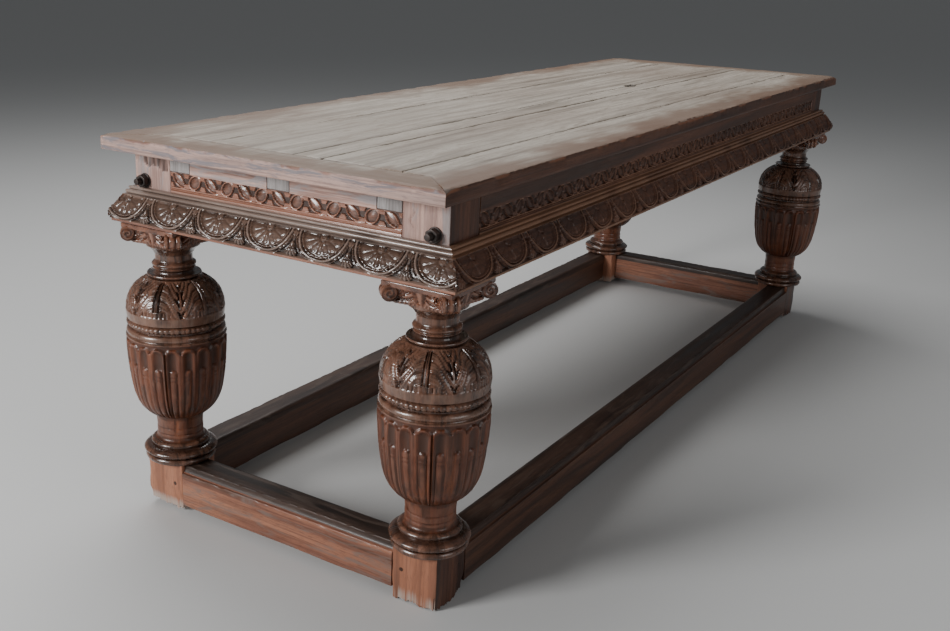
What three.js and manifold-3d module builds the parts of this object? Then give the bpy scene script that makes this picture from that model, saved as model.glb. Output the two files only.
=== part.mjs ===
// Oak communion table: a joined frame on four turned legs, with an applied carved moulding,
// a clamped board top and a box of stretchers at the floor. Millimetres, +Z up.
// The origin is on the floor, below the middle of the top. X runs along the table.
import * as THREE from "three";
import { mergeVertices } from "three/addons/utils/BufferGeometryUtils.js";
import Module from "manifold-3d";

// Overall sizes
const TABLE_LENGTH = 2550;
const TOP_WIDTH = 834;
const TABLE_HEIGHT = 850;
const GAP = 0.3; // left between pieces that touch

// Top: boards along the table between two mitred end clamps
const TOP_THICKNESS = 30;
const SEAM_PLACES = [266, 80, 12, -199]; // joints between boards, towards the front from the middle
const SEAM_GAP = 0.6;
const CLAMP_WIDTH = 93;
const TONGUE_LENGTH = 30;
const TONGUE_THICKNESS = 10;
const END_OVERHANG = 64; // of the top, past the posts
const SIDE_OVERHANG = 28;

// Legs
const POST_SIZE = 102;
const BLOCK_SIZE = 106; // foot block
const BLOCK_HEIGHT = 120;
const CAPITAL_TOP = 654;
const CAPITAL_DEPTH = 40;
const CAPITAL_HALF = 62;
const ABACUS_HALF = 77;
const SCROLL_RADIUS = 17;
const SCROLL_WIDTH = 34;
const SCROLL_REACH = 93; // from the leg's axis, along the diagonal
const ROUND_SEGMENTS = 24;
const CURVE_STEPS = 3;

// Rails, tenoned into the posts
const RAIL_BOTTOM = 664;
const RAIL_THICKNESS = 60;
const BAND_TOP = 780; // sunk band for the carving
const BAND_BOTTOM = 749;
const BAND_DEPTH = 4;
const RAIL_TENON = { length: 45, thickness: 24, bottom: 682, top: 772 };
const BEARER_WIDTH = 70;
const BEARER_DEPTH = 90;
const BEARER_TENON = { length: 25, width: 36, depth: 60 };

// Old slots in the end rails, each filled with a patch
const SLOT_BOTTOM = 781.5;
const SLOT_WIDTH = 54;
const PATCH_DEPTH = 40;

// Applied moulding
const MOULDING_TOP = 738;
const FILLET_REACH = 38;
const FILLET_HEIGHT = 5;
const OVOLO_FOOT = 41;
const OVOLO_BELLY = 49; // where the curve's handle lies; the curve itself stops short of it
const OVOLO_SHOULDER = 39;
const OVOLO_NECK = 33; // the handle of the curve above the shoulder
const OVOLO_TOP = 20;
const OVOLO_HEIGHTS = { belly: 0.18, shoulder: 0.48, neck: 0.7 }; // as shares of its rise
const LOWER_BEAD = { reach: 11.5, radius: 4.5 };
const UPPER_BEAD = { reach: 7.5, radius: 3.3 };

// Stretchers, tenoned into the foot blocks
const STRETCHER_TOP = 118;
const STRETCHER_HEIGHT = 98;
const STRETCHER_WIDTH = 72;
const STRETCHER_TENON = { length: 45, thickness: 24, height: 56 };
const EDGE_HOLLOW = 11; // moulded upper outer edge
const EDGE_ARRIS = 18;

// Oak pegs and iron bolts
const PEG_DIAMETER = 9;
const PEG_LENGTH = 60;
const PEG_SEGMENTS = 10;
const PEG_SETBACK = 23; // from the joint's shoulder
const RAIL_PEG_HEIGHT = 700;
const BOLT_DIAMETER = 14;
const BOLT_HEIGHT = 753;
const BOLT_GRIP = 78; // into the rail
const BOLT_HEAD = { across: 24, depth: 10 };
const BOLT_STUB = 12; // past the nut
const BOLT_CLEARANCE = 0.5;
const NUT = { across: 24, depth: 12 };
const WASHER = { diameter: 30, depth: 3 };

// Worked out from the sizes above
const halfLength = TABLE_LENGTH / 2;
const halfWidth = TOP_WIDTH / 2;
const topUnderside = TABLE_HEIGHT - TOP_THICKNESS;
const faceX = halfLength - END_OVERHANG;
const faceY = halfWidth - SIDE_OVERHANG;
const legX = faceX - POST_SIZE / 2;
const legY = faceY - POST_SIZE / 2;
const blockX = legX + BLOCK_SIZE / 2;
const blockY = legY + BLOCK_SIZE / 2;
const railOffset = (POST_SIZE - RAIL_THICKNESS) / 2;
const stretcherOffset = (BLOCK_SIZE - STRETCHER_WIDTH) / 2;
const tenonMiddle = STRETCHER_TOP - STRETCHER_HEIGHT / 2;
const railTop = topUnderside - GAP;

const wasm = await Module();
wasm.setup();

const table = new THREE.Group();

const finishes = {
  top: new THREE.MeshStandardMaterial({ color: 0x958b80, roughness: 0.72, metalness: 0 }),
  frame: new THREE.MeshStandardMaterial({ color: 0x4b3127, roughness: 0.5, metalness: 0 }),
  leg: new THREE.MeshStandardMaterial({ color: 0x5f3a2b, roughness: 0.42, metalness: 0 }),
  patch: new THREE.MeshStandardMaterial({ color: 0xa3948a, roughness: 0.7, metalness: 0 }),
  iron: new THREE.MeshStandardMaterial({ color: 0x1e1c1c, roughness: 0.6, metalness: 0.8 }),
};

function piece(name, finish, geometry, x = 0, y = 0, z = 0) {
  const mesh = new THREE.Mesh(geometry, finish);
  mesh.name = name;
  mesh.position.set(x, y, z);
  table.add(mesh);
}

// A closed geometry as a solid that can be joined and cut
function solid(geometry) {
  const plain = geometry.index ? geometry.toNonIndexed() : geometry.clone();
  plain.deleteAttribute("normal");
  plain.deleteAttribute("uv");
  const merged = mergeVertices(plain, 1e-3);
  return new wasm.Manifold(new wasm.Mesh({
    numProp: 3,
    vertProperties: new Float32Array(merged.attributes.position.array),
    triVerts: new Uint32Array(merged.index.array),
  }));
}

function geometryOf(body) {
  const mesh = body.getMesh();
  const geometry = new THREE.BufferGeometry();
  geometry.setAttribute("position", new THREE.BufferAttribute(mesh.vertProperties, 3));
  geometry.setIndex(new THREE.BufferAttribute(mesh.triVerts, 1));
  return geometry;
}

// A box from its lowest and highest corners
function box(low, high) {
  const size = high.map((value, axis) => value - low[axis]);
  const geometry = new THREE.BoxGeometry(...size);
  geometry.translate(...low.map((value, axis) => value + size[axis] / 2));
  return solid(geometry);
}

// A round bar along "x" or "y", from one place on that axis to another
function bar(axis, from, to, across, height, diameter, segments = PEG_SEGMENTS) {
  const geometry = new THREE.CylinderGeometry(diameter / 2, diameter / 2, Math.abs(to - from), segments);
  if (axis === "x") geometry.rotateZ(Math.PI / 2);
  const middle = (from + to) / 2;
  geometry.translate(...(axis === "x" ? [middle, across, height] : [across, middle, height]));
  return solid(geometry);
}

// An outline in X and Y, raised from one height to another
function raised(points, bottom, top) {
  const shape = new THREE.Shape(points.map(([x, y]) => new THREE.Vector2(x, y)));
  const geometry = new THREE.ExtrudeGeometry(shape, { depth: top - bottom, bevelEnabled: false });
  geometry.translate(0, 0, bottom);
  return solid(geometry);
}

// The same solid with its sides swapped, so that it fits another corner
function mirrored(body, signX, signY) {
  return body.scale([signX, signY, 1]);
}

// ---- Top ----

function addTopBoards() {
  const names = ["board_front", "board_front_middle", "board_narrow", "board_back_middle", "board_back"];
  const edges = [-halfWidth, ...SEAM_PLACES.map((place) => -place), halfWidth];
  const clampInner = halfLength - CLAMP_WIDTH;
  const mitreStart = halfWidth - CLAMP_WIDTH;
  names.forEach((name, row) => {
    const last = names.length - 1;
    const low = edges[row] + (row === 0 ? 0 : SEAM_GAP / 2);
    const high = edges[row + 1] - (row === last ? 0 : SEAM_GAP / 2);
    let body = box([-clampInner, low, topUnderside], [clampInner, high, TABLE_HEIGHT]);
    const tongueLow = Math.max(low, -mitreStart + TONGUE_THICKNESS);
    const tongueHigh = Math.min(high, mitreStart - TONGUE_THICKNESS);
    body = body.add(endTongue(tongueLow, tongueHigh, clampInner, 0));
    if (row === 0 || row === last) {
      const side = row === 0 ? -1 : 1;
      for (const end of [-1, 1]) body = body.add(mitreCorner(end, side, clampInner, mitreStart));
    }
    piece(name, finishes.top, geometryOf(body));
  });
}

// Tongues that stick out at both ends of a board; also the cutter for the clamp's groove
function endTongue(low, high, clampInner, room) {
  const middle = TABLE_HEIGHT - TOP_THICKNESS / 2;
  const half = TONGUE_THICKNESS / 2 + room;
  const reach = clampInner + TONGUE_LENGTH + room;
  return box([-reach, low - room, middle - half], [reach, high + room, middle + half]);
}

// The triangle by which an edge board meets a clamp in a mitre
function mitreCorner(end, side, clampInner, mitreStart) {
  const points = [
    [clampInner - 1, mitreStart],
    [clampInner, mitreStart],
    [halfLength, halfWidth],
    [clampInner - 1, halfWidth],
  ];
  return mirrored(raised(points, topUnderside, TABLE_HEIGHT), end, side);
}

function addEndClamps() {
  const inner = halfLength - CLAMP_WIDTH;
  const mitreStart = halfWidth - CLAMP_WIDTH;
  const slack = GAP * Math.SQRT2; // a gap square to the mitre, measured along the end
  const points = [
    [inner + GAP, -(mitreStart + GAP - slack)],
    [halfLength, -(halfWidth - slack)],
    [halfLength, halfWidth - slack],
    [inner + GAP, mitreStart + GAP - slack],
  ];
  const grooveEnd = mitreStart - TONGUE_THICKNESS;
  const groove = endTongue(-grooveEnd, grooveEnd, inner, GAP);
  const body = raised(points, topUnderside, TABLE_HEIGHT).subtract(groove);
  piece("clamp_left", finishes.top, geometryOf(mirrored(body, -1, 1)));
  piece("clamp_right", finishes.top, geometryOf(body));
}

// ---- Legs ----

// The turned shape between the foot block and the capital, from the block up
function turnedProfile() {
  const profile = new THREE.Path();
  profile.moveTo(0, BLOCK_HEIGHT - 1);
  profile.lineTo(76, BLOCK_HEIGHT - 1);
  profile.quadraticCurveTo(80, 125, 75, 131); // lowest ring
  profile.quadraticCurveTo(89, 142, 70, 151); // torus of the base
  profile.lineTo(64, 152);
  profile.quadraticCurveTo(66, 158, 59, 164); // ring over the torus
  profile.lineTo(53, 166);
  profile.lineTo(51, 196); // plain column
  profile.lineTo(52, 224);
  profile.quadraticCurveTo(92, 241, 100, 297); // rounded foot of the cup
  profile.quadraticCurveTo(109, 350, 109, 414); // side of the cup
  profile.lineTo(106, 418);
  profile.quadraticCurveTo(110, 424, 104, 430); // lip of the cup
  profile.lineTo(100, 434);
  profile.quadraticCurveTo(111, 442, 102, 450); // bead between cup and cover
  profile.lineTo(106, 453);
  profile.lineTo(107, 470); // plain band of the cover
  profile.quadraticCurveTo(106, 522, 57, 541); // dome of the cover
  profile.lineTo(58, 547);
  profile.quadraticCurveTo(43, 546, 40, 556); // dished flange
  profile.lineTo(44, 561);
  profile.quadraticCurveTo(50, 567, 42, 573); // neck ring
  profile.lineTo(40, 590);
  profile.quadraticCurveTo(45, 604, 60, 613); // flare under the capital
  profile.lineTo(60, CAPITAL_TOP - 1);
  profile.lineTo(0, CAPITAL_TOP - 1);
  return profile.getPoints(CURVE_STEPS);
}

function turnedLeg() {
  const geometry = new THREE.LatheGeometry(turnedProfile(), ROUND_SEGMENTS);
  geometry.rotateX(Math.PI / 2);
  return solid(geometry);
}

// A scroll at each corner of the capital, lying square to the diagonal
function capitalScrolls() {
  const place = SCROLL_REACH / Math.SQRT2;
  const scroll = new THREE.CylinderGeometry(SCROLL_RADIUS, SCROLL_RADIUS, SCROLL_WIDTH, PEG_SEGMENTS);
  scroll.rotateZ(-Math.PI / 4);
  scroll.translate(place, place, CAPITAL_TOP - SCROLL_RADIUS);
  return solid(scroll);
}

function square(half, bottom, top) {
  return box([-half, -half, bottom], [half, half, top]);
}

// Holes in one leg, for the corner where X and Y are both positive; the axis of the leg is at 0, 0
function legHoles() {
  const post = POST_SIZE / 2;
  const block = BLOCK_SIZE / 2;
  const tenon = RAIL_TENON.thickness / 2 + GAP;
  const railDepth = -post + RAIL_TENON.length + GAP;
  const low = RAIL_TENON.bottom - GAP;
  const high = RAIL_TENON.top + GAP;
  const foot = STRETCHER_TENON.thickness / 2 + GAP;
  const footDepth = -block + STRETCHER_TENON.length + GAP;
  const footLow = tenonMiddle - STRETCHER_TENON.height / 2 - GAP;
  const footHigh = tenonMiddle + STRETCHER_TENON.height / 2 + GAP;
  const boltHole = BOLT_DIAMETER + 2 * BOLT_CLEARANCE;
  return [
    box([-post - 1, railOffset - tenon, low], [railDepth, railOffset + tenon, high]),
    box([railOffset - tenon, -post - 1, low], [railOffset + tenon, railDepth, high]),
    box([-block - 1, stretcherOffset - foot, footLow], [footDepth, stretcherOffset + foot, footHigh]),
    box([stretcherOffset - foot, -block - 1, footLow], [stretcherOffset + foot, footDepth, footHigh]),
    bar("x", -post - 1, post + 1, railOffset, BOLT_HEIGHT, boltHole),
    ...pegSet(post, RAIL_PEG_HEIGHT, GAP),
    ...pegSet(block, tenonMiddle, GAP),
  ];
}

// The two pegs of a corner, from its outer faces inwards; with room they are the holes for them
function pegSet(half, height, room) {
  const across = -half + PEG_SETBACK;
  const outer = half + (room > 0 ? 1 : 0);
  const inner = half - PEG_LENGTH - room;
  const diameter = PEG_DIAMETER + 2 * room;
  return ["x", "y"].map((axis) => bar(axis, inner, outer, across, height, diameter));
}

function addLegs() {
  let leg = turnedLeg();
  leg = leg.add(square(BLOCK_SIZE / 2, 0, BLOCK_HEIGHT));
  leg = leg.add(square(POST_SIZE / 2, CAPITAL_TOP, railTop));
  leg = leg.add(square(ABACUS_HALF, CAPITAL_TOP - GAP, RAIL_BOTTOM - GAP));
  leg = leg.add(square(CAPITAL_HALF, CAPITAL_TOP - CAPITAL_DEPTH, CAPITAL_TOP));
  for (const signX of [-1, 1]) {
    for (const signY of [-1, 1]) leg = leg.add(mirrored(capitalScrolls(), signX, signY));
  }
  for (const hole of legHoles()) leg = leg.subtract(hole);
  forEachCorner((name, signX, signY) => {
    piece(`leg_${name}`, finishes.leg, geometryOf(mirrored(leg, signX, signY)), signX * legX, signY * legY);
  });
}

function forEachCorner(action) {
  for (const [side, signY] of [["front", -1], ["back", 1]]) {
    for (const [end, signX] of [["left", -1], ["right", 1]]) action(`${side}_${end}`, signX, signY);
  }
}

// ---- Rails and bearer ----

// The tenons at both ends of a rail that runs along X, its middle plane at Y 0
function railTenons(shoulder) {
  const reach = shoulder + RAIL_TENON.length;
  const half = RAIL_TENON.thickness / 2;
  return box([-reach, -half, RAIL_TENON.bottom], [reach, half, RAIL_TENON.top]);
}

// A rail along X with its outer face towards -Y
function plainRail(shoulder) {
  const half = RAIL_THICKNESS / 2;
  const band = box([-shoulder - 1, -half - 1, BAND_BOTTOM], [shoulder + 1, -half + BAND_DEPTH, BAND_TOP]);
  let rail = box([-shoulder, -half, RAIL_BOTTOM], [shoulder, half, railTop]).subtract(band);
  rail = rail.add(railTenons(shoulder));
  const pegHole = PEG_DIAMETER + 2 * GAP;
  for (const end of [-1, 1]) {
    const place = end * (shoulder + GAP + PEG_SETBACK);
    rail = rail.subtract(bar("y", -half, half, place, RAIL_PEG_HEIGHT, pegHole));
  }
  return rail;
}

function addEndRails() {
  const shoulder = legY - POST_SIZE / 2 - GAP;
  let rail = plainRail(shoulder);
  for (const middle of slotMiddles()) {
    const half = SLOT_WIDTH / 2 + GAP;
    const slot = box([middle - half, -RAIL_THICKNESS, SLOT_BOTTOM], [middle + half, RAIL_THICKNESS, railTop + 1]);
    rail = rail.subtract(slot);
  }
  const place = faceX - RAIL_THICKNESS / 2;
  piece("end_rail_left", finishes.frame, geometryOf(rail.rotate([0, 0, -90])), -place);
  piece("end_rail_right", finishes.frame, geometryOf(rail.rotate([0, 0, 90])), place);
}

// One slot beside each post and one between them
function slotMiddles() {
  const outer = legY - POST_SIZE / 2 - GAP - SLOT_WIDTH / 2;
  return [-outer, 0, outer];
}

function addSlotPatches() {
  const names = ["front", "middle", "back"];
  for (const [end, sign] of [["left", -1], ["right", 1]]) {
    slotMiddles().forEach((middle, index) => {
      const half = SLOT_WIDTH / 2;
      const outer = sign * faceX;
      const inner = sign * (faceX - PATCH_DEPTH);
      const low = [Math.min(outer, inner), middle - half, SLOT_BOTTOM + GAP];
      const high = [Math.max(outer, inner), middle + half, railTop];
      piece(`slot_patch_${end}_${names[index]}`, finishes.patch, geometryOf(box(low, high)));
    });
  }
}

function addSideRails() {
  const shoulder = legX - POST_SIZE / 2 - GAP;
  const half = RAIL_THICKNESS / 2;
  let rail = plainRail(shoulder);
  const boltHole = BOLT_DIAMETER + 2 * BOLT_CLEARANCE;
  const pocketHalf = BOLT_HEAD.across / 2 + 2;
  for (const end of [-1, 1]) {
    const headPlace = shoulder - BOLT_GRIP;
    const outer = shoulder + RAIL_TENON.length + 1;
    rail = rail.subtract(bar("x", end * headPlace, end * outer, 0, BOLT_HEIGHT, boltHole));
    const near = end * headPlace;
    const far = end * (headPlace - BOLT_HEAD.depth - 2);
    const low = [Math.min(near, far), -pocketHalf, BOLT_HEIGHT - pocketHalf];
    rail = rail.subtract(box(low, [Math.max(near, far), half + 1, BOLT_HEIGHT + pocketHalf]));
  }
  rail = rail.subtract(bearerTenon(half, GAP));
  const place = faceY - half;
  piece("side_rail_front", finishes.frame, geometryOf(rail), 0, -place);
  piece("side_rail_back", finishes.frame, geometryOf(rail.rotate([0, 0, 180])), 0, place);
}

// The stub tenon of the cross bearer, as it enters a rail's inner face; with room it is the mortise
function bearerTenon(face, room) {
  const middle = railTop - BEARER_DEPTH / 2;
  const width = BEARER_TENON.width / 2 + room;
  const depth = BEARER_TENON.depth / 2 + room;
  return box(
    [-width, face - BEARER_TENON.length - room, middle - depth],
    [width, face + 1, middle + depth],
  );
}

function addCrossBearer() {
  const shoulder = faceY - RAIL_THICKNESS - GAP;
  const half = BEARER_WIDTH / 2;
  let bearer = box([-half, -shoulder, railTop - BEARER_DEPTH], [half, shoulder, railTop]);
  const tenon = bearerTenon(0, 0).translate([0, -shoulder, 0]);
  for (const side of [1, -1]) bearer = bearer.add(mirrored(tenon, 1, side));
  piece("cross_bearer", finishes.frame, geometryOf(bearer));
}

// ---- Applied moulding ----

// Its section: how far it stands out from the posts, against height
function mouldingSection() {
  const section = new THREE.Shape();
  const ovoloBottom = RAIL_BOTTOM + FILLET_HEIGHT;
  const upperMiddle = MOULDING_TOP - UPPER_BEAD.radius;
  const lowerTop = upperMiddle - UPPER_BEAD.radius;
  const lowerMiddle = lowerTop - LOWER_BEAD.radius;
  const ovoloTop = lowerMiddle - LOWER_BEAD.radius;
  const rise = ovoloTop - ovoloBottom;
  section.moveTo(GAP, RAIL_BOTTOM);
  section.lineTo(FILLET_REACH, RAIL_BOTTOM);
  section.lineTo(FILLET_REACH, ovoloBottom);
  section.lineTo(OVOLO_FOOT, ovoloBottom + 1);
  const [belly, shoulder, neck] = Object.values(OVOLO_HEIGHTS).map((share) => ovoloBottom + rise * share);
  section.quadraticCurveTo(OVOLO_BELLY, belly, OVOLO_SHOULDER, shoulder);
  section.quadraticCurveTo(OVOLO_NECK, neck, OVOLO_TOP, ovoloTop - 1);
  section.lineTo(LOWER_BEAD.reach, ovoloTop);
  section.absarc(LOWER_BEAD.reach, lowerMiddle, LOWER_BEAD.radius, -Math.PI / 2, Math.PI / 2, false);
  section.lineTo(UPPER_BEAD.reach, lowerTop);
  section.absarc(UPPER_BEAD.reach, upperMiddle, UPPER_BEAD.radius, -Math.PI / 2, Math.PI / 2, false);
  section.lineTo(GAP, MOULDING_TOP);
  return section;
}

// A length of moulding along X in front of a face towards -Y, mitred at both ends
function mouldingLength(halfRun) {
  const options = { depth: 2, steps: 1, curveSegments: CURVE_STEPS, bevelEnabled: false };
  const geometry = new THREE.ExtrudeGeometry(mouldingSection(), options);
  const place = geometry.attributes.position;
  for (let i = 0; i < place.count; i += 1) {
    const reach = place.getX(i);
    const height = place.getY(i);
    const end = 1 - place.getZ(i);
    place.setXYZ(i, end * (halfRun + reach - GAP / 2), -reach, height);
  }
  return solid(geometry);
}

function addMouldings() {
  const side = mouldingLength(faceX);
  const end = mouldingLength(faceY);
  piece("moulding_front", finishes.frame, geometryOf(side), 0, -faceY);
  piece("moulding_back", finishes.frame, geometryOf(side.rotate([0, 0, 180])), 0, faceY);
  piece("moulding_left", finishes.frame, geometryOf(end.rotate([0, 0, -90])), -faceX);
  piece("moulding_right", finishes.frame, geometryOf(end.rotate([0, 0, 90])), faceX);
}

// ---- Stretchers ----

// A stretcher along X with its moulded edge towards -Y
function stretcher(shoulder) {
  const half = STRETCHER_WIDTH / 2;
  const bottom = STRETCHER_TOP - STRETCHER_HEIGHT;
  const section = new THREE.Shape();
  section.moveTo(-half, bottom);
  section.lineTo(half, bottom);
  section.lineTo(half, STRETCHER_TOP);
  section.lineTo(-half + EDGE_HOLLOW, STRETCHER_TOP);
  section.quadraticCurveTo(
    -half + EDGE_HOLLOW / 2, STRETCHER_TOP - EDGE_ARRIS / 3,
    -half, STRETCHER_TOP - EDGE_ARRIS,
  );
  const options = { depth: 2 * shoulder, curveSegments: CURVE_STEPS, bevelEnabled: false };
  const geometry = new THREE.ExtrudeGeometry(section, options);
  geometry.translate(0, 0, -shoulder);
  geometry.rotateX(Math.PI / 2);
  geometry.rotateZ(Math.PI / 2);
  const reach = shoulder + STRETCHER_TENON.length;
  const thick = STRETCHER_TENON.thickness / 2;
  const low = tenonMiddle - STRETCHER_TENON.height / 2;
  const high = tenonMiddle + STRETCHER_TENON.height / 2;
  let body = solid(geometry).add(box([-reach, -thick, low], [reach, thick, high]));
  const pegHole = PEG_DIAMETER + 2 * GAP;
  for (const end of [-1, 1]) {
    const place = end * (shoulder + GAP + PEG_SETBACK);
    body = body.subtract(bar("y", -half, half, place, tenonMiddle, pegHole));
  }
  return body;
}

function addStretchers() {
  const long = stretcher(legX - BLOCK_SIZE / 2 - GAP);
  const short = stretcher(legY - BLOCK_SIZE / 2 - GAP);
  const inset = STRETCHER_WIDTH / 2;
  piece("stretcher_front", finishes.frame, geometryOf(long), 0, -blockY + inset);
  piece("stretcher_back", finishes.frame, geometryOf(long.rotate([0, 0, 180])), 0, blockY - inset);
  piece("stretcher_left", finishes.frame, geometryOf(short.rotate([0, 0, -90])), -blockX + inset);
  piece("stretcher_right", finishes.frame, geometryOf(short.rotate([0, 0, 90])), blockX - inset);
}

// ---- Pegs and bolts ----

function addPegs() {
  forEachCorner((corner, signX, signY) => {
    const rail = pegSet(POST_SIZE / 2, RAIL_PEG_HEIGHT, 0);
    const foot = pegSet(BLOCK_SIZE / 2, tenonMiddle, 0);
    const pegs = { end_rail: rail[0], side_rail: rail[1], end_stretcher: foot[0], side_stretcher: foot[1] };
    for (const [joint, peg] of Object.entries(pegs)) {
      const geometry = geometryOf(mirrored(peg, signX, signY));
      piece(`peg_${joint}_${corner}`, finishes.frame, geometry, signX * legX, signY * legY);
    }
  });
}

// The bolt of a corner, with its head in the rail and its threaded end outside
function boltBody() {
  const outer = POST_SIZE / 2 + GAP + WASHER.depth + GAP + NUT.depth + BOLT_STUB;
  const head = -POST_SIZE / 2 - GAP - BOLT_GRIP + GAP;
  const half = BOLT_HEAD.across / 2;
  const shank = bar("x", head - 1, outer, 0, BOLT_HEIGHT, BOLT_DIAMETER);
  const low = [head - GAP - BOLT_HEAD.depth, -half, BOLT_HEIGHT - half];
  return shank.add(box(low, [head - GAP, half, BOLT_HEIGHT + half]));
}

function nutBody() {
  const inner = POST_SIZE / 2 + GAP + WASHER.depth + GAP;
  const corners = NUT.across / Math.cos(Math.PI / 6);
  const hole = bar("x", inner - 1, inner + NUT.depth + 1, 0, BOLT_HEIGHT, BOLT_DIAMETER + 2 * GAP);
  return bar("x", inner, inner + NUT.depth, 0, BOLT_HEIGHT, corners, 6).subtract(hole);
}

function washerBody() {
  const inner = POST_SIZE / 2 + GAP;
  const outer = inner + WASHER.depth;
  const hole = bar("x", inner - 1, outer + 1, 0, BOLT_HEIGHT, BOLT_DIAMETER + 2 * BOLT_CLEARANCE);
  return bar("x", inner, outer, 0, BOLT_HEIGHT, WASHER.diameter, ROUND_SEGMENTS).subtract(hole);
}

function addBolts() {
  const parts = { bolt: boltBody(), washer: washerBody(), nut: nutBody() };
  forEachCorner((corner, signX, signY) => {
    for (const [name, body] of Object.entries(parts)) {
      const geometry = geometryOf(mirrored(body, signX, signY));
      piece(`${name}_${corner}`, finishes.iron, geometry, signX * legX, signY * (legY + railOffset));
    }
  });
}

addTopBoards();
addEndClamps();
addLegs();
addEndRails();
addSideRails();
addCrossBearer();
addSlotPatches();
addMouldings();
addStretchers();
addPegs();
addBolts();

export default table;
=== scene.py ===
"""Visual model of a carved oak communion table, laid out as an add-on and run as a script."""
import math

import bpy
import numpy as np
from mathutils import Matrix, Vector


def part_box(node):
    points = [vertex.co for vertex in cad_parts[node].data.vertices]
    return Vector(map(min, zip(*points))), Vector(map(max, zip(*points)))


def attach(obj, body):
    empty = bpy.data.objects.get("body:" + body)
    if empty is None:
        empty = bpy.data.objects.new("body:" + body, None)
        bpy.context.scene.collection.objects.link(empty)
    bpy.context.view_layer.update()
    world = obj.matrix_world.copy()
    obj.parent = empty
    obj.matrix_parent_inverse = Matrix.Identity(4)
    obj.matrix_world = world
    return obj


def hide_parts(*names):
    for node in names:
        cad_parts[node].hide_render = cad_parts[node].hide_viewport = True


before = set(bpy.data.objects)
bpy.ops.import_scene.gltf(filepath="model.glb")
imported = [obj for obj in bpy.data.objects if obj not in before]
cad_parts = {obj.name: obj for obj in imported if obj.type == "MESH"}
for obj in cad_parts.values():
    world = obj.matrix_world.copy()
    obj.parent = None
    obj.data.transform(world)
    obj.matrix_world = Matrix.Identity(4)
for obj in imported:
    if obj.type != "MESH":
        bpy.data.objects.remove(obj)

bl_info = {
    "name": "Communion table",
    "version": (1, 0, 0),
    "blender": (4, 5, 0),
    "location": "3D View > Sidebar > Table",
    "description": "Carved oak communion table with cup-and-cover legs",
    "category": "Object",
}

MM = 0.001
BODY = "root"
# Each leg, and the side of the table along Y that it stands on.
LEGS = {"front_left": -1, "front_right": -1, "back_left": 1, "back_right": 1}
BOARDS = ("board_front", "board_front_middle", "board_narrow", "board_back_middle", "board_back")


# ---------------------------------------------------------------- sizes and colours

class TableCarving(bpy.types.PropertyGroup):
    """Sizes of the carving, which the solids leave out."""

    lunette_pitch: bpy.props.FloatProperty(
        name="Lunette pitch", description="From one lunette to the next, about",
        default=130 * MM, unit="LENGTH")
    lunette_radius: bpy.props.FloatProperty(
        name="Lunette radius", description="Of the sunk disc inside the rings",
        default=46 * MM, unit="LENGTH")
    lunette_depth: bpy.props.FloatProperty(
        name="Lunette depth", description="How deep the disc is sunk",
        default=6.5 * MM, unit="LENGTH")
    flutes: bpy.props.IntProperty(
        name="Flutes", description="Flutes around each cup", default=20)
    leaves: bpy.props.IntProperty(
        name="Leaves", description="Leaves around each cover", default=6)
    leaf_depth: bpy.props.FloatProperty(
        name="Leaf depth", description="How deep the leaves are cut",
        default=6 * MM, unit="LENGTH")
    foot_wear: bpy.props.FloatProperty(
        name="Foot wear", description="How far damp and wear have eaten into the feet",
        default=16 * MM, unit="LENGTH")


class TableFinish(bpy.types.PropertyGroup):
    """Colours of the oak and the iron, as sRGB hex values."""

    top_light: bpy.props.StringProperty(
        name="Top, light", description="Scrubbed oak of the boards", default="#BBB2A6")
    top_dark: bpy.props.StringProperty(
        name="Top, dark", description="Grain lines and stains of the boards", default="#857A6E")
    bare_light: bpy.props.StringProperty(
        name="Bare ends, light", description="Worn oak of the end faces", default="#C19F92")
    bare_dark: bpy.props.StringProperty(
        name="Bare ends, dark", description="Grain of the posts on the end faces", default="#80635A")
    waxed_light: bpy.props.StringProperty(
        name="Waxed cup, light", description="Lightest bands of the fluted cups", default="#7C472B")
    # The dark cup colour stands for old wax and dirt in the flutes and also for painted shade there.
    waxed_dark: bpy.props.StringProperty(
        name="Waxed cup, dark", description="Old wax and dirt in the flutes", default="#3A2114")
    iron: bpy.props.StringProperty(
        name="Iron", description="Blackened wrought iron", default="#383230")


def carving():
    return bpy.context.scene.table_carving


def finish():
    return bpy.context.scene.table_finish


# ---------------------------------------------------------------- small helpers

def deselect():
    if bpy.context.object and bpy.context.object.mode != "OBJECT":
        bpy.ops.object.mode_set(mode="OBJECT")
    bpy.ops.object.select_all(action="DESELECT")


def choose(piece):
    deselect()
    piece.select_set(True)
    bpy.context.view_layer.objects.active = piece


def named(piece, name):
    piece.name = name
    piece.data.name = name
    return piece


def points_of(piece):
    flat = np.empty(len(piece.data.vertices) * 3)
    piece.data.vertices.foreach_get("co", flat)
    return flat.reshape(-1, 3)


def set_points(piece, points):
    piece.data.vertices.foreach_set("co", np.ascontiguousarray(points, float).ravel())
    piece.data.update()


def set_value(piece, name, values):
    layer = piece.data.attributes.get(name) or piece.data.attributes.new(name, "FLOAT", "POINT")
    layer.data.foreach_set("value", np.ascontiguousarray(values, np.float32))


def smooth(low, high, value):
    t = np.clip((value - low) / (high - low), 0, 1)
    return t * t * (3 - 2 * t)


def cloud(points, size, seed):
    """Soft random values from -1 to 1 that change over the given size in metres."""
    cells = 32
    lattice = np.random.default_rng(seed).uniform(-1, 1, (cells, cells, cells))
    place = points / size
    base = np.floor(place).astype(int)
    part = place - base
    part = part * part * (3 - 2 * part)
    total = np.zeros(len(points))
    for corner in np.ndindex(2, 2, 2):
        share = np.prod(np.where(corner, part, 1 - part), axis=1)
        x, y, z = ((base + corner) % cells).T
        total += share * lattice[x, y, z]
    return total


def line(start, end, steps):
    """Points from start up to, but not with, end."""
    share = np.arange(steps)[:, None] / steps
    return np.array(start, float) * (1 - share) + np.array(end, float) * share


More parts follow.
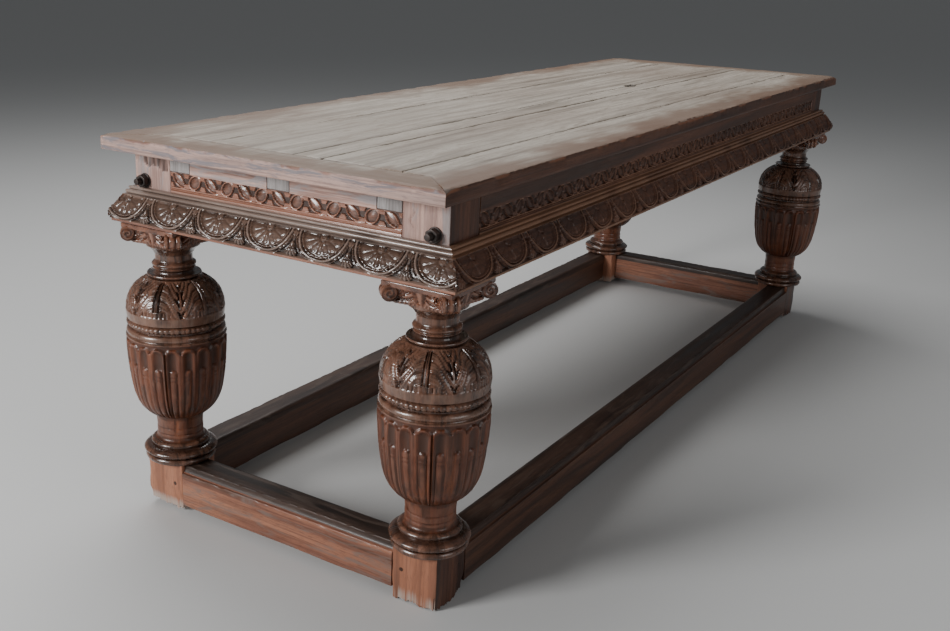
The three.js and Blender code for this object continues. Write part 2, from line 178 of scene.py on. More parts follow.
def curve(start, handle, end, steps):
    """Points of a quadratic curve from start up to, but not with, end."""
    share = np.arange(steps)[:, None] / steps
    a, b, c = (np.array(point, float) for point in (start, handle, end))
    return a * (1 - share) ** 2 + 2 * b * share * (1 - share) + c * share ** 2


def traced(start, *moves):
    """Points of an outline. A move is (end, steps), or (handle, end, steps) where it is curved."""
    runs = []
    for *handle, end, steps in moves:
        runs.append(curve(start, *handle, end, steps) if handle else line(start, end, steps))
        start = end
    return np.vstack(runs)


def outward(steps):
    """Unit vectors on the outer side of an outline, square to the given steps along it."""
    normals = np.stack([steps[:, 1], -steps[:, 0]], 1)
    return normals / np.linalg.norm(normals, axis=1)[:, None]


def swell(value, middle, half):
    """1 where value is middle, and falling softly to nothing on both sides of it."""
    return np.exp(-((value - middle) / half) ** 2)


def rounded(value, least=0):
    """1 where value is 0, and falling off like a quarter of a circle to least at 1."""
    return np.sqrt(np.clip(1 - value ** 2, least, 1))


def wave(angle):
    """1 at angle 0, and 0 half a turn further on."""
    return 0.5 + 0.5 * np.cos(angle)


def run_lengths(points):
    """How far along an outline each of its points is."""
    return np.concatenate([[0], np.cumsum(np.linalg.norm(np.diff(points, axis=0), axis=1))])


def wrapped_sheet(name, columns, rows, place):
    """A primitive grid laid out by place(u, v), merged where it meets itself and closed at its ends.

    place gives the vertices in metres and, for each, how high it stands in the carving (0 to 1).
    """
    deselect()
    bpy.ops.mesh.primitive_grid_add(x_subdivisions=columns, y_subdivisions=rows, size=2)
    piece = named(bpy.context.object, name)
    flat = points_of(piece)
    points, relief = place((flat[:, 0] + 1) / 2, (flat[:, 1] + 1) / 2)
    set_points(piece, points)
    set_value(piece, "relief", relief)
    close_up(piece)
    return piece


def close_up(piece):
    """Merges the seam, fills the open ends and turns every face outwards."""
    choose(piece)
    bpy.ops.object.mode_set(mode="EDIT")
    bpy.ops.mesh.select_mode(type="VERT")
    bpy.ops.mesh.select_all(action="SELECT")
    bpy.ops.mesh.remove_doubles(threshold=0.02 * MM)
    bpy.ops.mesh.select_all(action="SELECT")
    bpy.ops.mesh.fill_holes(sides=0)
    bpy.ops.mesh.select_all(action="SELECT")
    bpy.ops.mesh.normals_make_consistent(inside=False)
    bpy.ops.object.mode_set(mode="OBJECT")
    bpy.ops.object.shade_smooth_by_angle(angle=math.radians(50))


def join(pieces, name):
    deselect()
    for piece in pieces:
        piece.select_set(True)
    bpy.context.view_layer.objects.active = pieces[0]
    bpy.ops.object.join()
    return named(pieces[0], name)


def copy_of(piece, name, turn):
    """A copy with its own mesh, its vertices moved by a 4x4 matrix."""
    twin = piece.copy()
    twin.data = piece.data.copy()
    bpy.context.scene.collection.objects.link(twin)
    twin.data.transform(turn)
    return named(twin, name)


def copy_of_node(node, name, bevel, segments=2):
    """A merged copy of a solid, with its hard edges eased by a bevel."""
    twin = copy_of(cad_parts[node], name, Matrix())
    for key in list(twin.keys()):
        del twin[key]
    twin.parent = None
    choose(twin)
    bpy.ops.object.mode_set(mode="EDIT")
    bpy.ops.mesh.select_all(action="SELECT")
    bpy.ops.mesh.remove_doubles(threshold=0.01 * MM)
    bpy.ops.mesh.dissolve_limited(angle_limit=math.radians(1))
    bpy.ops.object.mode_set(mode="OBJECT")
    ease = twin.modifiers.new("ease", "BEVEL")
    ease.width = bevel
    ease.segments = segments
    ease.angle_limit = math.radians(40)
    bpy.ops.object.modifier_apply(modifier=ease.name)
    bpy.ops.object.shade_smooth_by_angle(angle=math.radians(40))
    return twin


def coat(piece, look):
    piece.data.materials.clear()
    piece.data.materials.append(material(look))


def paint_faces(piece, look, chosen):
    """A second look, for the faces that chosen(face) picks."""
    piece.data.materials.append(material(look))
    for face in piece.data.polygons:
        if chosen(face):
            face.material_index = 1


def finish_piece(piece, slot, look, *nodes):
    coat(piece, look)
    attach(piece, BODY)
    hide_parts(*nodes)


# ---------------------------------------------------------------- materials

def linear(tone):
    """Linear colour of a hex value, or of the colour property that has this name."""
    hex_value = tone if tone.startswith("#") else getattr(finish(), tone)
    channels = [int(hex_value[i:i + 2], 16) / 255 for i in (1, 3, 5)]
    return [c / 12.92 if c <= 0.04045 else ((c + 0.055) / 1.055) ** 2.4 for c in channels] + [1.0]


def add(material, kind, settings=None, links=None):
    """Adds a node; settings are its attributes or input values, links its inputs' sources."""
    made = material.node_tree.nodes.new(kind)
    for key, value in (settings or {}).items():
        if isinstance(key, str) and hasattr(made, key):
            setattr(made, key, value)
        else:
            made.inputs[key].default_value = value
    for key, source in (links or {}).items():
        material.node_tree.links.new(source, made.inputs[key])
    return made


def ramp(material, source, stops):
    """A colour ramp from (place, hex colour or grey value) stops."""
    made = add(material, "ShaderNodeValToRGB", links={"Fac": source})
    elements = made.color_ramp.elements
    while len(elements) < len(stops):
        elements.new(0.5)
    for element, (place, value) in zip(elements, stops):
        element.position = place
        element.color = linear(value) if isinstance(value, str) else (value, value, value, 1)
    return made.outputs["Color"]


def new_material(name):
    material = bpy.data.materials.new(name)
    material.use_nodes = True
    material.node_tree.nodes.clear()
    return material


def oak(name, along, light, middle, dark, hollow=None, rub_and_highlight=None, edge=None,
        roughness=(0.35, 0.55), stain=None, bump=0.4, wax=0.0, streaks=0.6):
    """Oak seen along its grain: broad bands of tone, dark grain lines and short open pores.

    hollow is the colour where the relief is low: in the carving old wax and dirt together with painted
    shade, on worn edges and feet the colour of the wear. The colour given for the high spots is rubbed
    wear together with a painted highlight. edge is that of the oak near the outline of the top, and stain
    that of blotches. wax is the strength of a polished coat, streaks that of the grain lines.
    """
    material = new_material(name)
    place = add(material, "ShaderNodeTexCoord").outputs["Object"]

    def grain(across, length, detail, distortion=0.0):
        """Noise whose cells are across wide and length long along the grain, in mm."""
        scale = [1000 / (length if axis == along else across) for axis in "xyz"]
        space = add(material, "ShaderNodeMapping", {"Scale": scale}, {"Vector": place})
        return add(material, "ShaderNodeTexNoise",
                   {"Scale": 1.0, "Detail": detail, "Roughness": 0.6, "Distortion": distortion},
                   {"Vector": space.outputs[0]}).outputs["Fac"]

    def blend(mask, under, colour, kind="MIX"):
        return add(material, "ShaderNodeMix", {"data_type": "RGBA", "blend_type": kind, 7: colour},
                   {0: mask, 6: under}).outputs[2]

    bands = grain(34, 700, 4.0, 0.7)
    lines = grain(4.5, 240, 4.0, 0.3)
    pores = grain(1.6, 22, 2.0)
    colour = ramp(material, bands, [(0.32, dark), (0.47, middle), (0.64, light)])
    colour = blend(ramp(material, lines, [(0.36, streaks), (0.52, 0.0)]), colour, linear(dark), "MULTIPLY")
    colour = blend(ramp(material, pores, [(0.36, 0.5), (0.46, 0.0)]), colour, linear(dark))
    if stain:
        blotches = grain(26, 160, 5.0, 1.5)
        colour = blend(ramp(material, blotches, [(0.52, 0.0), (0.62, 0.8)]), colour, linear(stain))
    if edge:
        near = add(material, "ShaderNodeAttribute", {"attribute_name": "edge"}).outputs["Fac"]
        colour = blend(near, colour, linear(edge))
    relief = add(material, "ShaderNodeAttribute", {"attribute_name": "relief"}).outputs["Fac"]
    # Painted shade and old wax: the hollow colour where the relief is low in the carving; on worn edges
    # and feet it is the colour of the wear.
    if hollow:
        colour = blend(ramp(material, relief, [(0.0, 0.92), (0.7, 0.0)]), colour, linear(hollow))
    # Painted highlight and rubbed wear: a lighter colour on the highest relief.
    if rub_and_highlight:
        colour = blend(ramp(material, relief, [(0.86, 0.0), (1.0, 0.7)]), colour, linear(rub_and_highlight))
    gloss = add(material, "ShaderNodeMapRange", {"From Min": 0.3, "From Max": 0.7,
                                                "To Min": roughness[0], "To Max": roughness[1]},
                {"Value": bands})
    height = add(material, "ShaderNodeMath", {"operation": "MULTIPLY_ADD", 1: 1.5}, {0: lines, 2: pores})
    bumps = add(material, "ShaderNodeBump", {"Strength": bump, "Distance": 0.5 * MM},
                {"Height": height.outputs[0]})
    shader = add(material, "ShaderNodeBsdfPrincipled",
                 {"IOR": 1.42, "Coat Weight": wax, "Coat Roughness": 0.16},
                 {"Base Color": colour, "Roughness": gloss.outputs[0], "Normal": bumps.outputs[0]})
    add(material, "ShaderNodeOutputMaterial", links={"Surface": shader.outputs[0]})
    return material


def wrought_iron(name):
    """Hammered, blackened iron with a little rust: dull, with soft uneven highlights."""
    material = new_material(name)
    place = add(material, "ShaderNodeTexCoord").outputs["Object"]
    rust = add(material, "ShaderNodeTexNoise", {"Scale": 140.0, "Detail": 5.0}, {"Vector": place})
    colour = ramp(material, rust.outputs["Fac"], [(0.4, "iron"), (0.78, "#3B302B")])
    bumps = add(material, "ShaderNodeBump", {"Strength": 0.6, "Distance": 0.8 * MM},
                {"Height": rust.outputs["Fac"]})
    shader = add(material, "ShaderNodeBsdfPrincipled", {"Metallic": 0.6, "Roughness": 0.42},
                 {"Base Color": colour, "Normal": bumps.outputs[0]})
    add(material, "ShaderNodeOutputMaterial", links={"Surface": shader.outputs[0]})
    return material


WAXED = {"roughness": (0.2, 0.36), "wax": 0.6, "streaks": 0.3}
DULL = {"roughness": (0.42, 0.58), "wax": 0.12, "streaks": 0.3}

# Each oak: the axis that its grain runs along, its light, middle and dark tone, and what else
# oak() is told. A tone is a hex value or the name of a property of TableFinish.
OAKS = {
    # Scrubbed, dry boards: grey-brown and matt, warmer towards the edge of the top.
    "scrubbed_oak_boards": ("x", "top_light", "#ACA296", "top_dark", dict(
        edge="#775F4F", hollow="#2C211B", roughness=(0.48, 0.7), stain="#968A7D", streaks=0.3)),
    "scrubbed_oak_clamp": ("y", "top_light", "#988B7E", "top_dark", dict(
        edge="#7A6251", hollow="#6B4330", roughness=(0.48, 0.7), stain="#8B7869", streaks=0.45)),
    # Bare, worn end faces: pinkish, with blue-grey stains where iron and damp got in.
    "bare_oak_upright": ("z", "bare_light", "#A98A80", "bare_dark", dict(
        hollow="#3A241B", roughness=(0.5, 0.75), stain="#8B8483", streaks=0.35)),
    "bare_oak_rail": ("y", "#D2B4A8", "#BC9B8F", "#8F7065", dict(
        hollow="#2A1912", roughness=(0.5, 0.75), stain="#8A8586")),
    "bare_oak_top_end": ("y", "bare_light", "#A88C82", "#74605A", dict(
        hollow="#7A4A32", roughness=(0.45, 0.7), stain="#68676D", streaks=0.45)),
    # Later patches over the slots: greyer and drier than the rail round them.
    "pale_oak_patch": ("z", "#A19C9A", "#8F8987", "#6F6967", dict(
        roughness=(0.55, 0.8), streaks=0.35)),
    # Old waxed oak: dark red-brown, with a soft shine, darker in the hollows from old wax and painted
    # shade, and lighter on the high spots from rubbing and painted highlights.
    "waxed_oak_frieze": ("y", "#9C6B58", "#835642", "#593A2C", dict(
        hollow="#22120B", rub_and_highlight="#AE897A", **WAXED)),
    "waxed_oak_leg": ("z", "#7C5644", "#604132", "#3C281E", dict(
        hollow="#2C1A12", rub_and_highlight="#75594A", stain="#2F2019", **WAXED)),
    "waxed_oak_capital": ("x", "#7E4F39", "#603A29", "#3F2519", dict(
        hollow="#2E1A12", rub_and_highlight="#8C6552", **WAXED)),
    # The light grey on the beads' tops is a painted highlight.
    "waxed_oak_end_moulding": ("y", "#6E5446", "#543F34", "#37271F", dict(
        hollow="#2A1C15", rub_and_highlight="#8E7C72", **WAXED)),
    # The fillet on the ends' lower edge: its own redder tone, lighter as a painted highlight where the key
    # light falls on it.
    "waxed_oak_fillet": ("y", "#8F5F4A", "#774B39", "#523226", WAXED),
    # The cups: redder than the rest of a leg and less shiny, as hands and cloths rub them.
    "waxed_oak_cup": ("z", "waxed_light", "#613420", "#3E2213", dict(
        hollow="waxed_dark", rub_and_highlight="#724B3A", stain="#3C2317", roughness=(0.34, 0.5), wax=0.25,
        streaks=0.3)),
    # The long sides: the same oak, duller, and painted darker as shade, for these sides face away from the
    # key light.
    "shaded_oak_side": ("x", "#6B4532", "#533325", "#342016", dict(
        hollow="#29170F", rub_and_highlight="#8F6A52", **DULL)),
    # Painted shade: the faces of posts and foot blocks that look out along the long sides, darker than the
    # lit end faces.
    "shaded_oak_upright": ("z", "#603D2D", "#492C20", "#301C14", DULL),
    # Painted shade: the long edges of the top and the strip over the side friezes; the lighter hollow
    # colour is the worn arris.
    "shaded_oak_top_edge": ("x", "#674332", "#4F3225", "#342018", dict(hollow="#8A5A40", **DULL)),
    "dark_oak_bearer": ("y", "#5E493D", "#48362D", "#33251F", dict(roughness=(0.5, 0.7))),
    "dark_oak_peg": ("z", "#5A3C2E", "#452C21", "#2D1C15", {}),
    # Stretchers: warm on the table's ends and darker along its sides as painted shade, with greyed,
    # trodden tops.
    "worn_oak_end_stretcher": ("y", "#9C6A52", "#7F5240", "#563728", dict(
        hollow="#2A1A13", roughness=(0.34, 0.56), stain="#6E5D55", wax=0.25, streaks=0.4)),
    # Painted shade: the side stretchers, darker than the end ones.
    "worn_oak_side_stretcher": ("x", "#5C3C2B", "#472C1F", "#2C1A12", dict(
        hollow="#1D110B", **DULL)),
    "dark_oak_tread_end": ("y", "#4A3931", "#352720", "#211712", dict(stain="#54463E", **DULL)),
    "dark_oak_tread_side": ("x", "#463127", "#31211A", "#1D130E", dict(stain="#4C3C33", **DULL)),
    # Feet: light red-brown, bleached grey where damp and wear have eaten the lower edge.
    "worn_oak_foot": ("z", "#AC775D", "#966249", "#6F4937", dict(
        hollow="#A89A90", roughness=(0.42, 0.66), stain="#80533F", wax=0.15, streaks=0.2)),
}


def material(name):
    """The named finish, made the first time that it is asked for."""
    found = bpy.data.materials.get(name)
    if found:
        return found
    if name not in OAKS:
        return wrought_iron(name)
    along, light, middle, dark, rest = OAKS[name]
    return oak(name, along, light, middle, dark, **rest)


# ---------------------------------------------------------------- places, taken from the solids

def axis_of_leg(corner):
    low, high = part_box(f"leg_{corner}")
    return (low.x + high.x) / 2, (low.y + high.y) / 2


# Faces, edges and levels of the solids in metres, then the sizes of a leg's capital.
FACE_X = -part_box("end_rail_left")[0].x
FACE_Y = -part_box("side_rail_front")[0].y
MOULDING_LOW, MOULDING_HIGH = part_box("moulding_front")
RAIL_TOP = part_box("side_rail_front")[1].z
LEG_X, LEG_Y = (abs(value) for value in axis_of_leg("front_left"))
HALF_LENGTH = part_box("clamp_right")[1].x
HALF_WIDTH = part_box("board_back")[1].y
TOP_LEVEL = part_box("board_back")[1].z
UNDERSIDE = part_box("board_back")[0].z
CLAMP_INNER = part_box("clamp_right")[0].x
BLOCK_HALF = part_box("stretcher_right")[1].x - LEG_X
POST_HALF = FACE_X - LEG_X
ABACUS_HALF = 77 * MM
CAPITAL_TOP = MOULDING_LOW.z - 10 * MM
SCROLL_RADIUS = 17 * MM
# Open seams between the five boards, from the front to the back.
SEAM_GAPS = (1.6 * MM, 3.4 * MM, 1.8 * MM, 1.4 * MM)
LONG_SIDES = ("front", "back")


def swept_sheet(name, section, stations, reach, shape):
    """A closed section carried along X. section holds (across, height) points in mm.

    reach(across) is where the piece ends at that place across, so that ends can be mitred.
    shape(row, along, across, height, limit) gives the vertices and how high each one stands.
    """
    outline = np.vstack([section, section[:1]]) * MM
    rows = len(section)
    widest = reach(outline[:, 0]).max()

    def place(u, v):
        row = np.rint(v * rows).astype(int)
        across, height = outline[row].T
        limit = reach(across)
        along = np.clip((2 * u - 1) * widest, -limit, limit)
        return shape(row, along, across, height, limit)

    return wrapped_sheet(name, stations, rows, place)


def swept_piece(name, section, stations, reach, relief, depth=1.0):
    """A length with a carved face towards -Y, made at Y 0. section holds (how far out, height).

    relief(along, row) is the carved height in metres, depth how fast the tone darkens with it.
    """
    outline = section * MM
    normals = outward(np.roll(outline, -1, 0) - np.roll(outline, 1, 0))
    normals = np.vstack([normals, normals[:1]])

    def shape(row, along, out, height, limit):
        carved = relief(along, row)
        out = out + normals[row, 0] * carved
        height = height + normals[row, 1] * carved
        # The tone falls the deeper the surface is carved or worn; in the carving oak() paints the low tone
        # as old wax and painted shade, and the highest parts as a painted highlight.
        return np.stack([along, -out, height], 1), np.clip(1 + carved / (7 * MM) * depth, 0, 1)

    return swept_sheet(name, section, stations, reach, shape)


# How far round from the front each side of the table lies, in degrees.
FACING = {"front": 0, "back": 180, "left": -90, "right": 90}


def turned_to(side, distance):
    """The move from a piece made towards -Y to its own side of the table."""
    turn = Matrix.Rotation(math.radians(FACING[side]), 4, "Z")
    return turn @ Matrix.Translation((0, -distance, 0))


# ---------------------------------------------------------------- carved moulding

# Steps over the curved part of the moulding that carries the lunettes.
OVOLO_ROWS = 42


def moulding_section():
    """(out, height) points in mm, counter-clockwise from the back of the bottom."""
    low, high = MOULDING_LOW.z / MM, MOULDING_HIGH.z / MM
    small, large = 3.3, 4.5
    foot = low + 5
    rise = high - small * 2 - large * 2 - foot
    lower, upper = foot + rise + large, high - small
    half_turn = np.linspace(-math.pi / 2, math.pi / 2, 7)
    bead = [(math.cos(angle), math.sin(angle)) for angle in half_turn]
    return np.vstack([
        traced((0.3, low), ((37.4, low), 2), ((38, low + 0.6), 1), ((38, foot - 0.6), 2)),
        traced((38, foot), ((41, foot + 1), 1),
               ((49, foot + rise * 0.18), (39, foot + rise * 0.48), OVOLO_ROWS // 2),
               ((33, foot + rise * 0.7), (20, foot + rise - 1), OVOLO_ROWS // 2),
               ((12.5, foot + rise - 0.4), 2)),
        [(11.5 + large * out, lower + large * up) for out, up in bead],
        [(7.5 + small * out, upper + small * up) for out, up in bead],
        line((0.3, high), (0.3, low), 2),
    ])


def lunette_relief(across, down, length):
    """Carved height of the lunettes in metres: across from one's middle, down from the beads."""
    sizes = carving()
    radius = sizes.lunette_radius
    from_middle = np.hypot(across, down)
    ring = from_middle - radius
    pearls = wave(np.arctan2(across, down) * 30)
    bead = -3.0 * MM + 2.4 * MM * rounded((ring - 2 * MM) / (2.1 * MM))
    bead = bead - 0.5 * MM * pearls
    band = -0.2 * MM - 1.7 * MM * ((ring - 9.0 * MM) / (3.4 * MM)) ** 2
    outer = -1.0 * MM - 1.2 * MM * ((ring - 15.4 * MM) / (1.7 * MM)) ** 2
    disc = disc_relief(across, down, radius, sizes.lunette_depth)
    bead_end, fillet_end, band_end, groove_end, outer_end = (
        end * MM for end in (4.1, 5.6, 12.4, 13.7, 17.1))
    height = np.select(
        [ring < 0, ring < bead_end, ring < fillet_end, ring < band_end, ring < groove_end,
         ring < outer_end],
        [disc, bead, -6.0 * MM, band, -5.0 * MM, outer], spandrel_relief(across, down, length))
    fade = smooth(0, 1.5 * MM, down) * smooth(length, length - 1.5 * MM, down)
    return height * fade


def disc_relief(across, down, radius, depth):
    """The sunk disc of a lunette: petals and a split ridge round a ringed boss near the beads."""
    petals = 7
    boss_drop, boss_radius = 5 * MM, 9.5 * MM
    from_middle = np.hypot(across, down)
    from_boss = np.hypot(across, down - boss_drop)
    cell = np.arctan2(across, down - boss_drop) * petals / math.pi
    cell = np.abs(cell - np.rint(cell))
    disc = -depth * (0.78 - 0.22 * (from_middle / radius) ** 2)
    end = radius * (0.95 - 0.5 * cell ** 2)
    petal = 1.5 * MM * (1 - (2 * cell) ** 6) + 0.3 * MM * np.cos(cell * 26)
    disc = disc + petal * smooth(end, end - 3 * MM, from_middle) * smooth(9 * MM, 14 * MM, from_boss)
    ridge_half = 1.4 * MM + 4.5 * MM * smooth(26 * MM, 10 * MM, from_boss)
    ridge = swell(across, 0, ridge_half) - 0.8 * swell(across, 0, 0.35 * ridge_half)
    disc = disc + 2.8 * MM * ridge * smooth(44 * MM, 30 * MM, from_boss) * (down > boss_drop)
    boss = 0.8 * MM * np.cos(from_boss * 2 * np.pi / (6.5 * MM)) - 1.6 * MM
    return np.where(from_boss < boss_radius, boss - 3 * MM * (from_boss / boss_radius) ** 4, disc)


def spandrel_relief(across, down, length):
    """The fan leaf between two lunettes: a thin stem at the top, five lobes at the bottom."""
    aside = carving().lunette_pitch / 2 - np.abs(across)
    half = 2.2 * MM + 27 * MM * np.clip((down - 14 * MM) / (length - 14 * MM), 0, 1) ** 2.4
    part = aside / half
    lobe = np.abs(np.cos(part * math.pi * 2.5)) ** 0.55
    tip = length - 2.5 * MM - 3.5 * MM * (1 - lobe) - 9 * MM * np.clip(part, 0, 1) ** 2
    leaf = -0.3 * MM - 3.2 * MM * (1 - lobe) - 1.8 * MM * part ** 2
    return np.where((part < 1) & (down < tip), leaf, -6.6 * MM)


def moulding_relief(count, section):
    """The lunettes' height as a function of the place along a moulding and the section's row."""
    steps = run_lengths(section) * MM
    first = 6
    last = first + OVOLO_ROWS
    length = steps[last] - steps[first]
    pitch = carving().lunette_pitch
    plain = len(section) - 2

    def relief(along, row):
        on_ovolo = (row >= first) & (row <= last)
        down = np.where(on_ovolo, steps[last] - steps[np.minimum(row, last)], -1)
        place = along / pitch
        index = np.clip(np.rint(place), -(count // 2), count // 2)
        carved = lunette_relief((place - index) * pitch, down, length)
        rough = cloud(np.stack([along, down, down * 0 + count], 1), 6 * MM, 3) * 0.25 * MM
        wear = np.minimum(cloud(np.stack([along, row * MM, down * 0], 1), 55 * MM, 5), 0) * 1.0 * MM
        inside = (down >= 0) & (down <= length)
        beside = wear * 0.5 * ((row > 2) & (row < plain))
        return np.where(inside, np.minimum(carved + rough, -0.1 * MM), beside)

    return relief


class TABLE_OT_mouldings(bpy.types.Operator):
    """Carve the four lengths of moulding: beads over an ovolo of lunettes and fan leaves"""

    bl_idname = "table.mouldings"
    bl_label = "Mouldings"

    def execute(self, context):
        long_run = self.carved("long", FACE_X, 19, 1150)
        short_run = self.carved("short", FACE_Y, 7, 480)
        for side in FACING:
            # The long sides take the darker oak, painted shade.
            run, look, distance = (long_run, "shaded_oak_side", FACE_Y)
            if side not in LONG_SIDES:
                run, look, distance = (short_run, "waxed_oak_end_moulding", FACE_X)
            piece = copy_of(run, f"carved_moulding_{side}", turned_to(side, distance))
            finish_piece(piece, "moulding", look, f"moulding_{side}")
            if side not in LONG_SIDES:
                # The lit lower fillet on the ends takes a lighter, redder oak, partly a painted highlight.
                fillet = MOULDING_LOW.z + 5.2 * MM
                paint_faces(piece, "waxed_oak_fillet", lambda face: face.center.z < fillet)
        for piece in (long_run, short_run):
            bpy.data.objects.remove(piece)
        return {"FINISHED"}

    @staticmethod
    def carved(name, half_length, count, stations):
        """One run of moulding with count lunettes, its ends mitred round the corners."""
        section = moulding_section()
        return swept_piece(f"carved_{name}", section, stations,
                           lambda out: half_length + out - 0.15 * MM,
                           moulding_relief(count, section))


# ---------------------------------------------------------------- rails with the carved frieze

# From the lower to the upper edge of the frieze, and how deep its ground is sunk.
BAND = (749 * MM, 780 * MM)
BAND_DEPTH = 4 * MM


def frieze_relief(across, height, index):
    """Leaves that lean one way and ovals that lean the other, with raised rims, by turns."""

    def leaning(degrees):
        lean = math.radians(degrees)
        return (across * math.sin(lean) - height * math.cos(lean),
                across * math.cos(lean) + height * math.sin(lean))

    along, aside = leaning(50)
    leaf_half = 11.6 * MM * np.clip(1 - (along / (23.5 * MM)) ** 2, 0.001, 1)
    leaf_in = leaf_half - np.abs(aside)
    along, aside = leaning(-48)
    oval = np.hypot(along / (18.8 * MM), aside / (13.7 * MM))
    oval_in = (1 - oval) * 14.5 * MM
    inside = np.where(index % 2 == 0, leaf_in, oval_in)
    deepest = np.where(index % 2 == 0, 7 * MM, 9 * MM)
    rim_half = 1.7 * MM
    rim = -0.15 * MM - 1.2 * MM * ((inside - rim_half) / rim_half) ** 2
    bowl = -3.9 * MM + 1.6 * MM * np.clip((inside - 3.4 * MM) / deepest, 0, 1)
    flare = np.abs(across) > 20 * MM - np.abs(height) * 0.5
    ground = np.where(flare & (np.abs(height) > 6 * MM), -1.4 * MM, -BAND_DEPTH)
    return np.select([inside > 3.4 * MM, inside > 0], [bowl, rim], ground)


def rail_relief(count, length, slots=()):
    """Height over a rail's outer face: the sunk frieze, the moulded lines under it and any slots."""
    pitch = length / count
    middle = (BAND[0] + BAND[1]) / 2 + 0.5 * MM
    slot_bottom, slot_depth = 0.7812, 42 * MM

    def relief(along, height, is_face):
        place = along / pitch
        index = np.clip(np.rint(place), -(count // 2), count // 2)
        number = (index + count // 2).astype(int)
        carved = frieze_relief((place - index) * pitch, height - middle, number)
        in_band = (height > BAND[0] + 0.4 * MM) & (height < BAND[1] - 0.4 * MM) & is_face
        lines = sum(-1.6 * MM * swell(height, level, 0.9 * MM) for level in (0.7462, 0.7425))
        total = np.where(in_band, carved, np.where(is_face, lines, 0))
        for low, high in slots:
            inside = (along > low) & (along < high) & (height > slot_bottom) & is_face
            total = np.where(inside, -slot_depth, total)
        rough = cloud(np.stack([along / 6, height, height * 0], 1), 5 * MM, 8) * 0.2 * MM
        return total + rough * is_face

    return relief


def rail_section():
    """(out, height) points in mm round a rail, and how many of them lie on its outer face."""
    back, top = -60, RAIL_TOP / MM
    low, high = MOULDING_LOW.z / MM, MOULDING_HIGH.z / MM
    face = traced((0, low), ((0, high), 2), ((0, BAND[0] / MM), 8), ((0, BAND[1] / MM), 26),
                  ((0, 781.5), 1), ((0, top), 10))
    behind = traced((0, top), ((back, top), 2), ((back, low), 4), ((0, low), 2))
    return np.vstack([face, behind]), len(face)


def carved_rail(name, count, shoulder, stations, slots=()):
    section, face_rows = rail_section()
    relief = rail_relief(count, 2 * shoulder, slots)
    heights = np.append(section[:, 1], section[0, 1]) * MM
    return swept_piece(
        name, section, stations, lambda out: out * 0 + shoulder,
        lambda along, row: relief(along, heights[row], row < face_rows), depth=1.7)


class TABLE_OT_rails(bpy.types.Operator):
    """Carve the four rails with their frieze of leaves and ovals, and let in the slot patches"""

    bl_idname = "table.rails"
    bl_label = "Rails"

    def execute(self, context):
        gap = 0.3 * MM
        slots = []
        for place in ("front", "middle", "back"):
            low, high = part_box(f"slot_patch_left_{place}")
            slots.append((low.y - 0.9 * MM, high.y + 0.9 * MM))
        long_rail = carved_rail("long_rail", 51, LEG_X - POST_HALF - gap, 950)
        short_rail = carved_rail("short_rail", 13, LEG_Y - POST_HALF - gap, 340, slots)
        above_band = BAND[1] + 0.5 * MM
        for side in FACING:
            if side in LONG_SIDES:
                node = f"side_rail_{side}"
                piece = copy_of(long_rail, f"carved_{node}", turned_to(side, FACE_Y))
                # The long rails take the darker oak, painted shade.
                finish_piece(piece, "frame", "shaded_oak_side", node)
                # The strip above the side frieze takes the darker top-edge oak, painted shade.
                paint_faces(piece, "shaded_oak_top_edge", lambda face: face.center.z >= above_band)
            else:
                node = f"end_rail_{side}"
                piece = copy_of(short_rail, f"carved_{node}", turned_to(side, FACE_X))
                finish_piece(piece, "end_face", "bare_oak_rail", node)
                paint_faces(piece, "waxed_oak_frieze", lambda face: face.center.z < above_band)
        for rail in (long_rail, short_rail):
            bpy.data.objects.remove(rail)
        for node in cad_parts:
            if node.startswith("slot_patch"):
                piece = copy_of_node(node, f"{node}_let_in", 0.8 * MM)
                finish_piece(piece, "patch", "pale_oak_patch", node)
        return {"FINISHED"}


# ---------------------------------------------------------------- legs

# Heights of the parts of a leg, each from its lower to its upper end.
COLUMN_LOW = 165 * MM
CUP = (226 * MM, 412 * MM)
ROPED = (435 * MM, 450 * MM)
COVER = (470.5 * MM, 541 * MM)


def leg_profile():
    """(radius, height) points in metres of the turned part of a leg, from the foot block up."""
    base = traced(
        (60, 112), ((70, 118.6), 2), ((76, 119), 2), ((81, 125), (75, 131), 8),
        ((71, 131.6), 2), ((93, 141), (69.5, 151), 16), ((63.5, 151.6), 2), ((63.5, 153), 1),
        ((68, 158.5), (59, 164), 8))
    column = traced((59, 164), ((52, 165), (51, 171), 5), ((50.5, 200), 16), ((52.5, 223), 8))
    cup = traced(
        (52.5, 223), ((57, 224.6), 2), ((93, 243), (100, 297), 26), ((109, 350), (109, 411), 54),
        ((109, 413.5), 2), ((105, 415), 2), ((104.5, 416.5), 1))
    rings = traced(
        (104.5, 416.5), ((110.5, 423), (104, 430), 8), ((98.5, 431.5), 2), ((98.5, 434.5), 2),
        ((113.5, 442), (101, 450), 12), ((98.5, 452), 2), ((105, 453), 2))
    cover = traced((105, 453), ((107, 470), 7), ((106, 522), (57, 541), 58))
    neck = traced(
        (57, 541), ((53.5, 542), 2), ((56.5, 543.5), 2), ((60, 547.5), (57.5, 549.8), 4),
        ((55.5, 549), 2), ((42, 544), (40.5, 556), 10), ((42, 558.2), 2),
        ((49, 560.5), (43, 563), 6), ((42.5, 564), 1), ((52.5, 569.5), (42, 575), 9),
        ((40, 577), 2), ((40, 592), 4), ((42, 594), 2), ((46, 604), (58, 611), 9),
        ((57, 622), 3))
    return np.vstack([base, column, cup, rings, cover, neck]) * MM


